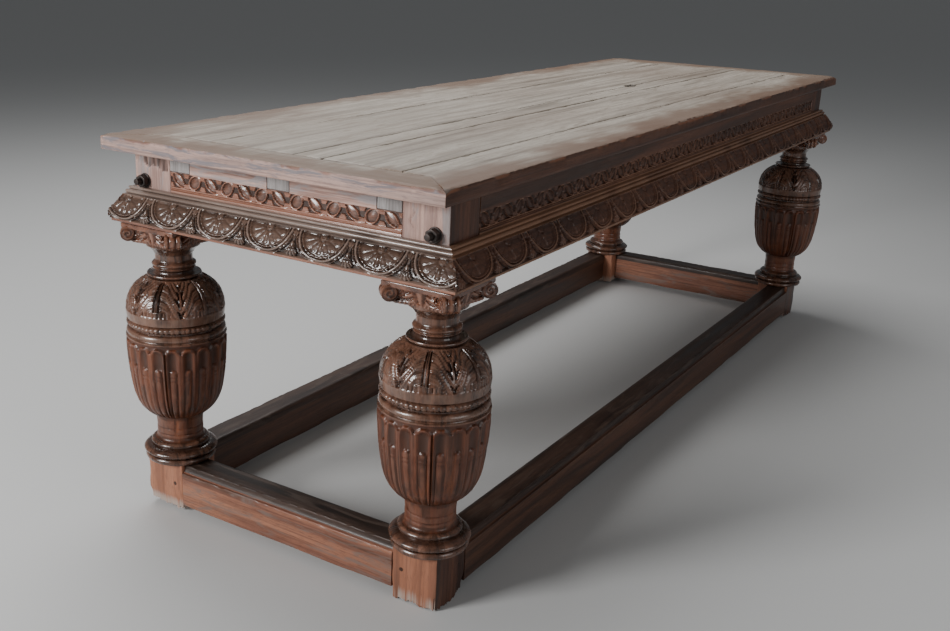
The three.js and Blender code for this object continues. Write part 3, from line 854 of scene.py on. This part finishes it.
def cup_relief(cell, height, radius):
    """Round-headed flutes with raised rims, each filled below by a reed with a rounded head."""
    share = radius / (109 * MM)
    pitch = 2 * math.pi * radius / carving().flutes
    aside = np.abs(cell) * pitch
    half, rim, reed_half = 0.31 * pitch, 0.09 * pitch, 0.25 * pitch
    arch = 398 * MM - half
    head = 347 * MM
    off = np.where(height > arch, np.hypot(aside, height - arch), aside)
    hollow = -5.6 * MM * share * rounded(off / half, 0.1)
    off_reed = np.where(height > head, np.hypot(aside / reed_half, (height - head) / (9 * MM)),
                        aside / reed_half)
    reed = -4.6 * MM * share + 5.0 * MM * share * rounded(off_reed)
    for level in (340 * MM, 331 * MM):
        bow = level - 3 * MM * (aside / reed_half) ** 2
        reed = reed - 1.3 * MM * swell(height, bow, 1.5 * MM)
    inside = np.where(off_reed < 1, np.minimum(reed, 0), hollow)
    on_rim = -1.2 * MM * ((off - half - rim) / rim) ** 2
    groove = -4.0 * MM * share
    spandrel = np.where(height > arch + 0.7 * half, -4.4 * MM, groove)
    carved = np.select([off < half, off < half + 2 * rim], [inside, on_rim], spandrel)
    return carved * smooth(411 * MM, 408.5 * MM, height)


def cover_relief(cell, up):
    """Leaves that hang over the cover: a ribbed middle, and lobes that curl outwards and down."""
    depth = carving().leaf_depth
    aside = np.abs(cell) * 2
    lobe_place = 4.2 * (up + 0.75 * aside ** 1.7 + 0.03 * np.sin(aside * 11)) + 0.3
    lobe = np.abs(np.cos(math.pi * lobe_place))
    blade = 0.15 * np.cos(lobe_place * math.pi * 6)
    reach = 0.8 + 0.15 * lobe + 0.05 * np.sin(up * 9)
    crown = rounded(aside / 1.05)
    leaf = -depth * (0.7 - 0.55 * lobe ** 0.5 - blade * lobe - 0.2 * crown)
    rib = np.where(aside < 0.03, -0.35, np.where(aside < 0.085, -0.02, -0.75)) * depth
    leaf = np.where(aside < 0.115, rib, leaf)
    tips = np.abs(np.cos(aside * math.pi * 6)) ** 0.5
    leaf = np.where((up < 0.15) & (aside < 0.6), -depth * (0.75 - 0.7 * tips), leaf)
    between = -depth + depth * 0.9 * swell(1 - aside, 0, 0.05) * smooth(0.06, 0.16, up)
    carved = np.where(aside < reach, leaf, between)
    return np.minimum(carved, 0) * smooth(0.0, 0.03, up) * smooth(1.0, 0.96, up)


def leg_relief(angle, height, radius, up_cover):
    """Carved height over the turned part: flutes, leaves, roping and incised lines."""

    def cell(count, start=0.0):
        place = (angle - math.radians(start)) / (2 * math.pi) * count
        return place - np.rint(place)

    in_cup = (height > CUP[0]) & (height < CUP[1]) & (radius > 56 * MM)
    flutes = cup_relief(cell(carving().flutes, 4), height, radius)
    carved = np.where(in_cup, flutes * smooth(CUP[0], CUP[0] + 6 * MM, height), 0.0)
    leaves = cover_relief(cell(carving().leaves, 22), up_cover)
    carved = np.where(up_cover >= 0, leaves, carved)
    nicks = np.abs(cell(58)) * 2 + np.abs(height - 442.5 * MM) / (16 * MM)
    widest_nick = 0.62
    roped = (height > ROPED[0]) & (height < ROPED[1]) & (nicks < widest_nick)
    nick = -1.9 * MM * np.sqrt(np.clip(1 - nicks / widest_nick, 0, 1))
    carved = np.where(roped, nick, carved)
    for level in (195.5 * MM, 181 * MM):
        carved = carved - 1.6 * MM * swell(height, level, 1.2 * MM)
    return carved


def shade_and_darkening_on(profile):
    """Darkening over a leg's profile: painted shade and old wax where a taller moulding stands close by,
    and a flat darker tone below the column and above the cover.
    """
    radii, heights = profile.T
    near = np.abs(heights[:, None] - heights[None, :]) < 9 * MM
    sunk = np.where(near, radii[None, :], 0).max(1) - radii
    cover = (heights > COVER[0]) & (heights < COVER[1])
    shade_and_darkening = 0.6 * smooth(1.5 * MM, 10 * MM, sunk) * (heights > 119 * MM) * ~cover
    return shade_and_darkening + 0.2 * (heights < COLUMN_LOW) + 0.15 * (heights > COVER[1])


def turned_body(name):
    """The carved and turned middle of a leg, on its own axis."""
    profile = leg_profile()
    normals = outward(np.gradient(profile, axis=0))
    steps = run_lengths(profile)
    heights = profile[:, 1]
    cover = (heights > COVER[0]) & (heights < COVER[1])
    start, stop = steps[cover][0], steps[cover][-1]
    up_cover = np.where(cover, (steps - start) / (stop - start), -1)
    shade_and_darkening = shade_and_darkening_on(profile)
    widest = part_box("leg_front_left")[1].x - axis_of_leg("front_left")[0] - 0.1 * MM

    def place(u, v):
        row = np.rint(v * (len(profile) - 1)).astype(int)
        angle = 2 * math.pi * u
        radius, height = profile[row].T
        carved = leg_relief(angle, height, radius, up_cover[row])
        ring = np.stack([np.cos(angle), np.sin(angle)], 1)
        spot = np.column_stack([ring * 0.1, height])
        rough = cloud(spot, 8 * MM, 21) * 0.22 * MM
        dents = np.minimum(cloud(spot, 30 * MM, 22) + 0.45, 0) * 2.2 * MM
        moved = carved + rough + dents * (height < 420 * MM)
        reach = np.minimum(radius + normals[row, 0] * moved, widest)
        level = height + normals[row, 1] * moved
        blotch = 0.2 * np.abs(cloud(spot, 28 * MM, 25))
        above_cup = np.where(height > CUP[1], 5.0, 6.6)
        deepest = np.where(up_cover[row] >= 0, 6.5, above_cup) * MM
        # Lower where the carving is cut deep and in the creases: oak() paints this as shade and old wax,
        # and the highest parts as painted highlights.
        tone = 1 + moved / deepest - shade_and_darkening[row] - blotch
        return np.column_stack([ring * reach[:, None], level]), np.clip(tone, 0, 1)

    return wrapped_sheet(name, 232, len(profile) - 1, place)


def squared_shaft(name, half, levels, relief, columns, sharpness):
    """A square shaft with slightly rounded corners. levels are (inset, height) in metres.

    relief(x, y, height) gives how far each point stands in, how far it is lifted, and its tone.
    """
    levels = np.array(levels, float)

    def place(u, v):
        row = np.rint(v * (len(levels) - 1)).astype(int)
        inset, height = levels[row].T
        quarter = np.floor(np.clip(u * 4, 0, 3.9999))
        across = (u * 4 - quarter) * 2 - 1
        turn = quarter * math.pi / 2
        x = np.cos(turn) - across * np.sin(turn)
        y = np.sin(turn) + across * np.cos(turn)
        scale = 1 / (np.abs(x) ** sharpness + np.abs(y) ** sharpness) ** (1 / sharpness)
        x, y = x * scale, y * scale
        push, lift, tone = relief(x * half, y * half, height)
        size = half - inset - push
        return np.stack([x * size, y * size, height + lift], 1), np.clip(tone, 0, 1)

    return wrapped_sheet(name, columns, len(levels) - 1, place)


def foot_block(name, seed):
    """A foot block, its lower edge eaten away by damp and wear; parts of it still meet the floor."""
    top = 120 * MM
    rows = ([(0.0, z) for z in np.linspace(0, top - 2 * MM, 44)]
            + [(0.6 * MM, top - 0.6 * MM), (3 * MM, top)])
    wear = carving().foot_wear

    def relief(x, y, height):
        spot = np.stack([x, y, height * 0], 1)
        fibres = cloud(np.stack([x * 4, y * 4, height / 4], 1), 9 * MM, seed)
        chewed = cloud(spot * 3, 9 * MM, seed + 2) * 0.5 + cloud(spot * 7, 9 * MM, seed + 3) * 0.35
        bite = np.clip(0.42 + 0.5 * cloud(spot, 46 * MM, seed + 1) + 0.45 * chewed, 0, 1)
        low = smooth(44 * MM, 4 * MM, height)
        corner = smooth(0.78, 1.0, np.minimum(np.abs(x), np.abs(y)) / BLOCK_HALF)
        scuff = np.clip(cloud(np.stack([x, y, height], 1), 24 * MM, seed + 5) - 0.35, 0, 1)
        push = 0.35 * MM * fibres + 3.0 * MM * low * bite + (1.5 * low + 2.5 * scuff) * MM * corner
        lift = wear * bite * smooth(48 * MM, 0, height)
        eaten = low * np.clip(bite + 0.45 + 0.6 * chewed, 0, 1)
        tone = 0.95 - 0.85 * eaten - 0.12 * np.abs(fibres)
        return push + 0.4 * MM, lift, tone

    return squared_shaft(name, BLOCK_HALF, rows, relief, columns=176, sharpness=36)


def leg_post(name, seed, flaw):
    """The square post between the rails. flaw is "split", "torn" or nothing, on its end face."""
    bottom = MOULDING_LOW.z - 2 * MM
    rows = ([(0.0, z) for z in np.linspace(bottom, RAIL_TOP - 2 * MM, 46)]
            + [(0.6 * MM, RAIL_TOP - 0.5 * MM), (2 * MM, RAIL_TOP)])

    def relief(x, y, height):
        side = np.where(np.abs(x) > np.abs(y), y, x)
        spot = np.stack([x, y, height / 9], 1)
        end_face = x < -POST_HALF * 0.9
        push = 0.25 * MM * cloud(spot, 4 * MM, seed)
        if flaw == "split":
            split = swell(side - 30 * MM - 4 * MM * np.sin(height * 190), 0, 1.5 * MM)
            ends = smooth(745 * MM, 755 * MM, height) * smooth(795 * MM, 785 * MM, height)
            push = push + 2.6 * MM * split * ends * end_face
        if flaw == "torn":
            spread = np.stack([side, side, side * 0], 1)
            ragged = 781 * MM + 7 * MM * cloud(spread, 12 * MM, seed + 4)
            tear = (height > ragged) & end_face & (np.abs(y + 8 * MM) < 36 * MM)
            push = push + tear * (2.6 * MM + 1.6 * MM * cloud(spot * 1.2, 4 * MM, seed + 5))
        return push, 0.0, 1 - push / (3.2 * MM)

    return squared_shaft(name, POST_HALF, rows, relief, columns=160, sharpness=30)


def leg_capital(name):
    """A low square capital: a leaf spread over the middle of each side, curling into scrolls."""
    half = 70 * MM
    low, high = CAPITAL_TOP - 40 * MM, CAPITAL_TOP + 0.5 * MM
    rows = ([(20 * MM, low - 1 * MM), (13 * MM, low), (9 * MM, low + 1 * MM)]
            + [(0.0, z) for z in np.linspace(low + 3 * MM, high, 30)])

    def relief(x, y, height):
        side = np.where(np.abs(x) > np.abs(y), y, x) / half
        up = (height - low) / (high - low)
        away = np.abs(side)
        hollow = 9 * MM * np.cos(side * math.pi / 2) ** 1.5 * (1 - 0.8 * up) + 3 * MM * (1 - up)
        sweep = up * 3.1 + away * 2.6 + 0.5 * np.sin(away * 5)
        blades = np.abs(np.cos(sweep * math.pi)) ** 0.7
        husk = np.abs(np.cos(np.arctan2(side, up + 0.35) * 9)) ** 0.6
        eye = np.hypot((away - 0.62) * half, (up - 0.62) * (high - low))
        coil = wave(2 * math.pi * eye / (7 * MM))
        leafy = np.select([eye < 10 * MM, away < 0.22], [coil, husk], blades)
        lip = smooth(0.0, 0.14, up) * smooth(1.0, 0.9, up)
        roped = wave(side * 46 + up * 8)
        carved = np.where(up < 0.2, 2.0 * MM * (1 - roped), 5 * MM * (1 - leafy) * lip)
        # The tone falls where the leaf is cut deeper, for painted shade and wax in the carving.
        return hollow + carved, 0.0, 1 - 0.75 * carved / (5 * MM)

    return squared_shaft(name, half, rows, relief, columns=272, sharpness=9)


def plain_abacus(name):
    """The plain square block over the capital, its edges eased."""
    low, high = CAPITAL_TOP - 0.3 * MM, MOULDING_LOW.z - 0.3 * MM
    deselect()
    bpy.ops.mesh.primitive_cube_add(size=1, location=(0, 0, (low + high) / 2),
                                    scale=(2 * ABACUS_HALF, 2 * ABACUS_HALF, high - low))
    block = named(bpy.context.object, name)
    bpy.ops.object.transform_apply(location=True, rotation=True, scale=True)
    bpy.ops.object.mode_set(mode="EDIT")
    bpy.ops.mesh.bevel(offset=1.2 * MM, segments=2)
    bpy.ops.mesh.select_all(action="SELECT")
    bpy.ops.mesh.subdivide(number_cuts=5)
    bpy.ops.object.mode_set(mode="OBJECT")
    spots = points_of(block)
    worn = cloud(spots, 24 * MM, 31)[:, None] * [0.5 * MM, 0.5 * MM, 0]
    set_points(block, spots * (1 - 0.6 * MM / ABACUS_HALF) + worn * 0.6)
    set_value(block, "relief", np.full(len(spots), 0.8))
    bpy.ops.object.shade_smooth_by_angle(angle=math.radians(40))
    return block


def corner_scroll(name):
    """One rolled scroll of the capital, ribbed round, lying square to the leg's diagonal."""
    radius, width, middle = SCROLL_RADIUS, 34 * MM, 93 * MM
    outline = np.vstack([
        traced((0, -17), ((10, -17.6), 8), ((16, -15.5), 4), ((16.8, -13), 2), ((16.8, 13), 30),
               ((16, 15.5), 2), ((10, 17.6), 4), ((0, 17), 8)),
        [(0, 17)]]) * MM

    def place(u, v):
        row = np.rint(v * (len(outline) - 1)).astype(int)
        out, along = outline[row].T
        angle = 2 * math.pi * u
        ribs = np.abs(np.cos(along / width * math.pi * 2.5)) ** 0.5
        on_roll = np.abs(along) < 15 * MM
        coil = wave(2 * math.pi * out / (8 * MM) + angle)
        leafy = wave(angle * 9 + np.abs(along) * 160)
        ribbed = out - 3.2 * MM * (1 - ribs) - 0.9 * MM * leafy * ribs
        coiled = along - np.sign(along) * 1.3 * MM * (1 - coil) * (out > 1 * MM)
        reach = np.where(on_roll & (out > 14 * MM), ribbed, out)
        along = np.where(on_roll, along, coiled)
        x = middle + reach * np.cos(angle)
        z = CAPITAL_TOP - radius + reach * np.sin(angle)
        # Darker in the channels between the ribs and in the coil's grooves: painted shade.
        tone = np.where(on_roll, 0.3 + 0.7 * ribs, 0.4 + 0.6 * coil)
        turn = math.radians(45)
        return (np.stack([x * math.cos(turn) - along * math.sin(turn),
                          x * math.sin(turn) + along * math.cos(turn), z], 1), tone)

    return wrapped_sheet(name, 44, len(outline) - 1, place)


class TABLE_OT_legs(bpy.types.Operator):
    """Turn and carve the four legs: foot block, base, fluted cup, leafy cover, capital and post"""

    bl_idname = "table.legs"
    bl_label = "Legs"

    def execute(self, context):
        scrolls = [corner_scroll("scroll_0")]
        for quarter in (1, 2, 3):
            turn = Matrix.Rotation(quarter * math.pi / 2, 4, "Z")
            scrolls.append(copy_of(scrolls[0], f"scroll_{quarter}", turn))
        body = turned_body("turned_body")
        head = join([leg_capital("capital"), plain_abacus("abacus"), *scrolls], "capital")
        flaws = {"front_left": "split", "back_left": "torn"}
        for index, (corner, side) in enumerate(LEGS.items()):
            node = f"leg_{corner}"
            place = Matrix.Translation((*axis_of_leg(corner), 0))
            spin = Matrix.Rotation(math.radians(90 * index), 4, "Z")
            leg = copy_of(body, f"carved_{node}", place @ spin)
            finish_piece(leg, "leg", "waxed_oak_leg", node)
            paint_faces(leg, "waxed_oak_cup", lambda face: COLUMN_LOW < face.center.z < CUP[1])
            capital = copy_of(head, f"capital_{corner}", place @ spin)
            finish_piece(capital, "leg", "waxed_oak_capital", node)
            block = named(foot_block("block", 40 + 7 * index), f"foot_block_{corner}")
            post = named(leg_post("post", 80 + 7 * index, flaws.get(corner)),
                         f"square_post_{corner}")
            for piece, look in ((block, "worn_oak_foot"), (post, "bare_oak_upright")):
                piece.data.transform(place)
                finish_piece(piece, "leg", look, node)
                # Painted shade: the faces that look out along the long side take the darker oak.
                paint_faces(piece, "shaded_oak_upright", lambda face: face.normal.y * side > 0.7)
        for piece in (body, head):
            bpy.data.objects.remove(piece)
        return {"FINISHED"}


# ---------------------------------------------------------------- top

def board_section(low, high, steps):
    """(across, height) points in mm round a board, its edges worn round, steps over its top."""
    top, bottom = TOP_LEVEL / MM, UNDERSIDE / MM
    low, high = low / MM, high / MM
    return traced(
        (low + 1, bottom), ((high - 1, bottom), 3), ((high, bottom + 1), 1),
        ((high, top - 2.5), 6), ((high - 0.2, top - 0.2), (high - 2.5, top), 3),
        ((low + 2.5, top), steps), ((low + 0.2, top - 0.2), (low, top - 2.5), 3),
        ((low, bottom + 1), 6), ((low + 1, bottom), 1))


def worn_board(name, low, high, stations, reach, seed, edges, hole=None):
    """A board along X from low to high in Y. edges says how far its lower and upper Y edge is worn.

    hole is the place of a knot hole, if there is one.
    """
    section = board_section(low, high, max(8, int((high - low) / (6 * MM))))
    lower_worn, upper_worn = edges
    hole_length, hole_width = 34 * MM, 11 * MM

    def shape(row, along, across, height, limit):
        spot = np.stack([along, across, height * 0], 1)
        from_end = limit - np.abs(along)
        dish = (0.5 * MM * (cloud(spot, 220 * MM, seed) - 1)
                + 0.25 * MM * (cloud(spot * [0.2, 1, 1], 12 * MM, 9) - 1))
        near_low = smooth(8 * MM, 0, across - low) * lower_worn
        near_high = smooth(8 * MM, 0, high - across) * upper_worn
        near_end = smooth(7 * MM, 0, from_end)
        uneven = 0.9 * cloud(spot, 42 * MM, seed + 1)
        worn = np.clip(0.35 + uneven + 0.5 * cloud(spot, 9 * MM, seed + 2), 0, 1.4)
        outer = across - low if lower_worn > upper_worn else high - across
        corner = (max(edges) - 0.5) * smooth(20 * MM, 0, from_end) * smooth(20 * MM, 0, outer)
        drop = (near_low + near_high + near_end) * worn * 2.2 * MM + corner * (0.4 + worn) * 4 * MM
        pull = (near_low - near_high) * worn * 1.2 * MM * smooth(UNDERSIDE, TOP_LEVEL, height)
        arris = smooth(TOP_LEVEL - 9 * MM, TOP_LEVEL - 2 * MM, height)
        tone = 1 - arris * np.clip(drop / (2.6 * MM), 0, 0.75)
        if hole:
            ragged = 1 + 0.35 * cloud(spot, 14 * MM, seed + 3)
            from_hole = np.hypot((along - hole[0]) / hole_length, (across - hole[1]) / hole_width)
            off = from_hole * ragged
            drop = drop + 14 * MM * smooth(1.1, 0.8, off)
            tone = tone - smooth(1.5, 0.9, off)
        upper = smooth(UNDERSIDE + 12 * MM, TOP_LEVEL, height)
        height = height + upper * (dish - drop)
        return np.stack([along, across + pull, height], 1), np.clip(tone, 0, 1)

    return swept_sheet(name, section, stations, reach, shape)


# The clamps' mitres start here, as a place across the top, and the other boards end here.
MITRE_START = HALF_WIDTH - (HALF_LENGTH - CLAMP_INNER)
BOARD_END = CLAMP_INNER - 0.5 * MM


def straight_end(across):
    return across * 0 + BOARD_END


def mitred_end(across):
    return BOARD_END + np.clip(np.abs(across) - MITRE_START, 0, None)


def clamp_end(across):
    return MITRE_START + np.clip(np.abs(across) - CLAMP_INNER, 0, None) - 0.6 * MM


class TABLE_OT_top(bpy.types.Operator):
    """Make the five boards and the two mitred clamps, with worn edges and an old knot hole"""

    bl_idname = "table.top"
    bl_label = "Top"

    def execute(self, context):
        outer_sides = {"board_front": -1, "board_back": 1}
        seam_worn, outer_worn = 0.5, 1.6
        hole = (0.425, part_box("board_narrow")[1].y)
        gaps = (0, *SEAM_GAPS, 0)
        for index, node in enumerate(BOARDS):
            low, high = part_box(node)[0].y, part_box(node)[1].y
            side = outer_sides.get(node, 0)
            edges = (outer_worn if side < 0 else seam_worn, outer_worn if side > 0 else seam_worn)
            board = worn_board(
                f"worn_{node}", low + gaps[index] / 2, high - gaps[index + 1] / 2, 440,
                mitred_end if side else straight_end, 100 + 9 * index, edges,
                hole if node in ("board_narrow", "board_back_middle") else None)
            finish_piece(board, "top", "scrubbed_oak_boards", node)
            self.mark_edge(board)
            if side:
                # The outer long edges take the darker top-edge oak, painted shade.
                paint_faces(board, "shaded_oak_top_edge", lambda face: face.normal.y * side > 0.6)
        for name, side, seed in (("left", -1, 174), ("right", 1, 175)):
            clamp = worn_board(f"worn_clamp_{name}", CLAMP_INNER, HALF_LENGTH, 200, clamp_end,
                               seed, (1.0, 1.5))
            clamp.data.transform(Matrix.Rotation(math.radians(-90 * side), 4, "Z"))
            finish_piece(clamp, "top", "scrubbed_oak_clamp", f"clamp_{name}")
            self.mark_edge(clamp)
            paint_faces(clamp, "bare_oak_top_end", lambda face: face.normal.x * side > 0.6)
        return {"FINISHED"}

    @staticmethod
    def mark_edge(piece):
        """How near each point is to the outline of the top, unevenly, for the warmer tone there."""
        spots = points_of(piece)
        from_sides = HALF_WIDTH - np.abs(spots[:, 1])
        inward = np.minimum(HALF_LENGTH - np.abs(spots[:, 0]), from_sides)
        wander = (cloud(spots * [0.4, 1, 1], 60 * MM, 61) * 45 * MM
                  + cloud(spots * [0.3, 1, 1], 14 * MM, 62) * 30 * MM)
        band = 0.85 * smooth(120 * MM, 10 * MM, inward + wander)
        patchy = 0.35 * np.clip(cloud(spots * [0.3, 1, 1], 130 * MM, 63) + 0.2, 0, 1)
        set_value(piece, "edge", np.clip(band + patchy, 0, 1))


# ---------------------------------------------------------------- stretchers

def stretcher_section(low, high):
    """(out, height) points in mm: a worn flat top, two arrises with a hollow between, a plain face."""
    back = -72
    return traced(
        (back + 1.5, low), ((-1.5, low), 5), ((0, low + 1.5), 1), ((0, high - 20), 16),
        ((0, high - 17.8), (-2.2, high - 17.8), 3), ((-4, high - 18.2), 1),
        ((-10.5, high - 15), (-9.5, high - 5), 8), ((-9, high - 3), 1),
        ((-9, high - 0.3), (-11.5, high - 0.3), 3), ((back + 9, high - 0.8), 14),
        ((back + 1, high - 2), (back, high - 10), 4), ((back, low + 1.5), 8),
        ((back + 1.5, low), 1))


def stretcher(name, shoulder, stations, seed):
    """One stretcher along X, its moulded edge towards -Y."""
    low, high = (corner.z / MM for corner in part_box("stretcher_front"))
    section = stretcher_section(low, high)
    outs, heights = np.vstack([section, section[:1]]).T * MM

    def relief(along, row):
        out, height = outs[row], heights[row]
        spot = np.stack([along, height, out], 1)
        trodden = smooth(high * MM - 4 * MM, high * MM - 1 * MM, height)
        wave = np.clip(0.35 + 0.8 * cloud(spot, 70 * MM, seed), 0, 1.2)
        nicks = np.clip(cloud(spot, 9 * MM, seed + 1) - 0.1, 0, 1)
        arris = (swell(height, (high - 18.5) * MM, 2 * MM) * (out > -3 * MM)
                 + swell(out, -10 * MM, 2.5 * MM) * trodden)
        bottom = smooth((low + 9) * MM, low * MM, height)
        worn = 0.3 + 0.9 * trodden * wave + arris * (0.3 * wave + 1.8 * nicks) + 2.4 * bottom * wave
        return -worn * MM

    return swept_piece(name, section, stations, lambda out: out * 0 + shoulder, relief, depth=1.6)


class TABLE_OT_stretchers(bpy.types.Operator):
    """Make the four stretchers, moulded on their upper outer edge and worn by feet"""

    bl_idname = "table.stretchers"
    bl_label = "Stretchers"

    def execute(self, context):
        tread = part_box("stretcher_front")[1].z - 16.5 * MM
        for index, side in enumerate(FACING):
            kind, leg_place, face, stations = "end", LEG_Y, LEG_X + BLOCK_HALF, 160
            if side in LONG_SIDES:
                kind, leg_place, face, stations = "side", LEG_X, LEG_Y + BLOCK_HALF, 420
            shoulder = leg_place - BLOCK_HALF - 0.3 * MM
            made = stretcher("stretcher", shoulder, stations, 200 + 5 * index)
            piece = copy_of(made, f"worn_stretcher_{side}", turned_to(side, face))
            bpy.data.objects.remove(made)
            # The side stretchers' darker oak is painted shade.
            finish_piece(piece, "frame", f"worn_oak_{kind}_stretcher", f"stretcher_{side}")
            paint_faces(piece, f"dark_oak_tread_{kind}", lambda face: face.center.z > tread)
        return {"FINISHED"}


# ---------------------------------------------------------------- pegs, bearer and ironwork

class TABLE_OT_fixings(bpy.types.Operator):
    """Finish the pegs and the cross bearer, and forge the bolts, washers and nuts"""

    bl_idname = "table.fixings"
    bl_label = "Pegs and ironwork"

    def execute(self, context):
        for node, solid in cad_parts.items():
            if node.startswith("peg_"):
                coat(solid, "dark_oak_peg")
            elif node == "cross_bearer":
                bearer = copy_of_node(node, "eased_cross_bearer", 2 * MM)
                finish_piece(bearer, "frame", "dark_oak_bearer", node)
            elif node.split("_")[0] in ("bolt", "washer", "nut"):
                forged = copy_of_node(node, f"forged_{node}", 1.4 * MM, 3)
                finish_piece(forged, "iron", "blackened_wrought_iron", node)
        return {"FINISHED"}


# ---------------------------------------------------------------- stage

# Each soft light: where it stands, what it is aimed at, its size in metres and its power in watts.
LIGHTS = {
    "key": ((-4.4, 1.5, 1.75), (-0.8, -0.1, 0.55), 1.15, 165),
    "over": ((0.6, 1.6, 4.0), (0, 0, 0.8), 3.0, 140),
    "fill": ((-1.6, -5.0, 1.9), (0, 0, 0.5), 2.6, 56),
}
CAMERA_PLACE = (-2.8185, -1.3714, 1.2297)
CAMERA_YAW, CAMERA_PITCH, CAMERA_ROLL = 32.97, -18.11, 1.81


class TABLE_OT_stage(bpy.types.Operator):
    """Set the floor, the soft lights and the camera"""

    bl_idname = "table.stage"
    bl_label = "Stage"

    def execute(self, context):
        self.floor()
        for name, (place, aim, size, power) in LIGHTS.items():
            self.light(name, place, aim, size, power)
        world = bpy.data.worlds.new("studio")
        context.scene.world = world
        world.use_nodes = True
        sky = world.node_tree.nodes["Background"]
        sky.inputs["Color"].default_value = linear("#D6D9DC")
        sky.inputs["Strength"].default_value = 0.2
        self.camera(context)
        return {"FINISHED"}

    @staticmethod
    def floor():
        deselect()
        bpy.ops.mesh.primitive_plane_add(size=160, location=(0, 0, 0))
        floor = bpy.context.object
        floor.name = "studio_floor"
        paint = new_material("pale_studio_floor")
        shader = add(paint, "ShaderNodeBsdfPrincipled",
                     {"Base Color": linear("#C4C4C3"), "Roughness": 0.9})
        add(paint, "ShaderNodeOutputMaterial", links={"Surface": shader.outputs[0]})
        floor.data.materials.append(paint)

    @staticmethod
    def light(name, place, aim, size, power):
        deselect()
        bpy.ops.object.light_add(type="AREA", location=place)
        lamp = bpy.context.object
        lamp.name = f"{name}_softbox"
        lamp.data.shape = "SQUARE"
        lamp.data.size = size
        lamp.data.energy = power
        lamp.rotation_euler = (Vector(aim) - Vector(place)).to_track_quat("-Z", "Y").to_euler()

    @staticmethod
    def camera(context):
        """A standing view of the near corner, from a little above the top."""
        yaw, pitch, roll = (math.radians(a) for a in (CAMERA_YAW, CAMERA_PITCH, CAMERA_ROLL))
        ahead = Vector((math.cos(pitch) * math.cos(yaw), math.cos(pitch) * math.sin(yaw),
                        math.sin(pitch)))
        right = ahead.cross(Vector((0, 0, 1))).normalized()
        above = right.cross(ahead)
        side = right * math.cos(roll) + above * math.sin(roll)
        above = above * math.cos(roll) - right * math.sin(roll)
        turn = Matrix((side, above, -ahead)).transposed().to_4x4()
        bpy.ops.object.camera_add()
        camera = context.object
        camera.name = "camera"
        camera.matrix_world = Matrix.Translation(CAMERA_PLACE) @ turn
        camera.data.sensor_width = 36
        camera.data.lens = 42.27
        camera.data.shift_x = 0.0595
        camera.data.shift_y = -0.0028
        context.scene.camera = camera


# ---------------------------------------------------------------- add-on

STEPS = (TABLE_OT_stage, TABLE_OT_top, TABLE_OT_mouldings, TABLE_OT_rails, TABLE_OT_legs,
         TABLE_OT_stretchers, TABLE_OT_fixings)


class TABLE_PT_panel(bpy.types.Panel):
    """Buttons that make the table, piece by piece"""

    bl_label = "Communion table"
    bl_idname = "TABLE_PT_panel"
    bl_space_type = "VIEW_3D"
    bl_region_type = "UI"
    bl_category = "Table"

    def draw(self, context):
        for group in (context.scene.table_carving, context.scene.table_finish):
            box = self.layout.box()
            for key in group.bl_rna.properties.keys():
                if key not in ("rna_type", "name"):
                    box.prop(group, key)
        for step in STEPS:
            self.layout.operator(step.bl_idname)


CLASSES = (TableCarving, TableFinish, *STEPS, TABLE_PT_panel)


def register():
    for item in CLASSES:
        bpy.utils.register_class(item)
    bpy.types.Scene.table_carving = bpy.props.PointerProperty(type=TableCarving)
    bpy.types.Scene.table_finish = bpy.props.PointerProperty(type=TableFinish)


def unregister():
    del bpy.types.Scene.table_finish
    del bpy.types.Scene.table_carving
    for item in reversed(CLASSES):
        bpy.utils.unregister_class(item)


def main():
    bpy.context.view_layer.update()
    register()
    for step in STEPS:
        area, name = step.bl_idname.split(".")
        getattr(getattr(bpy.ops, area), name)()


if __name__ == "__main__":
    main()
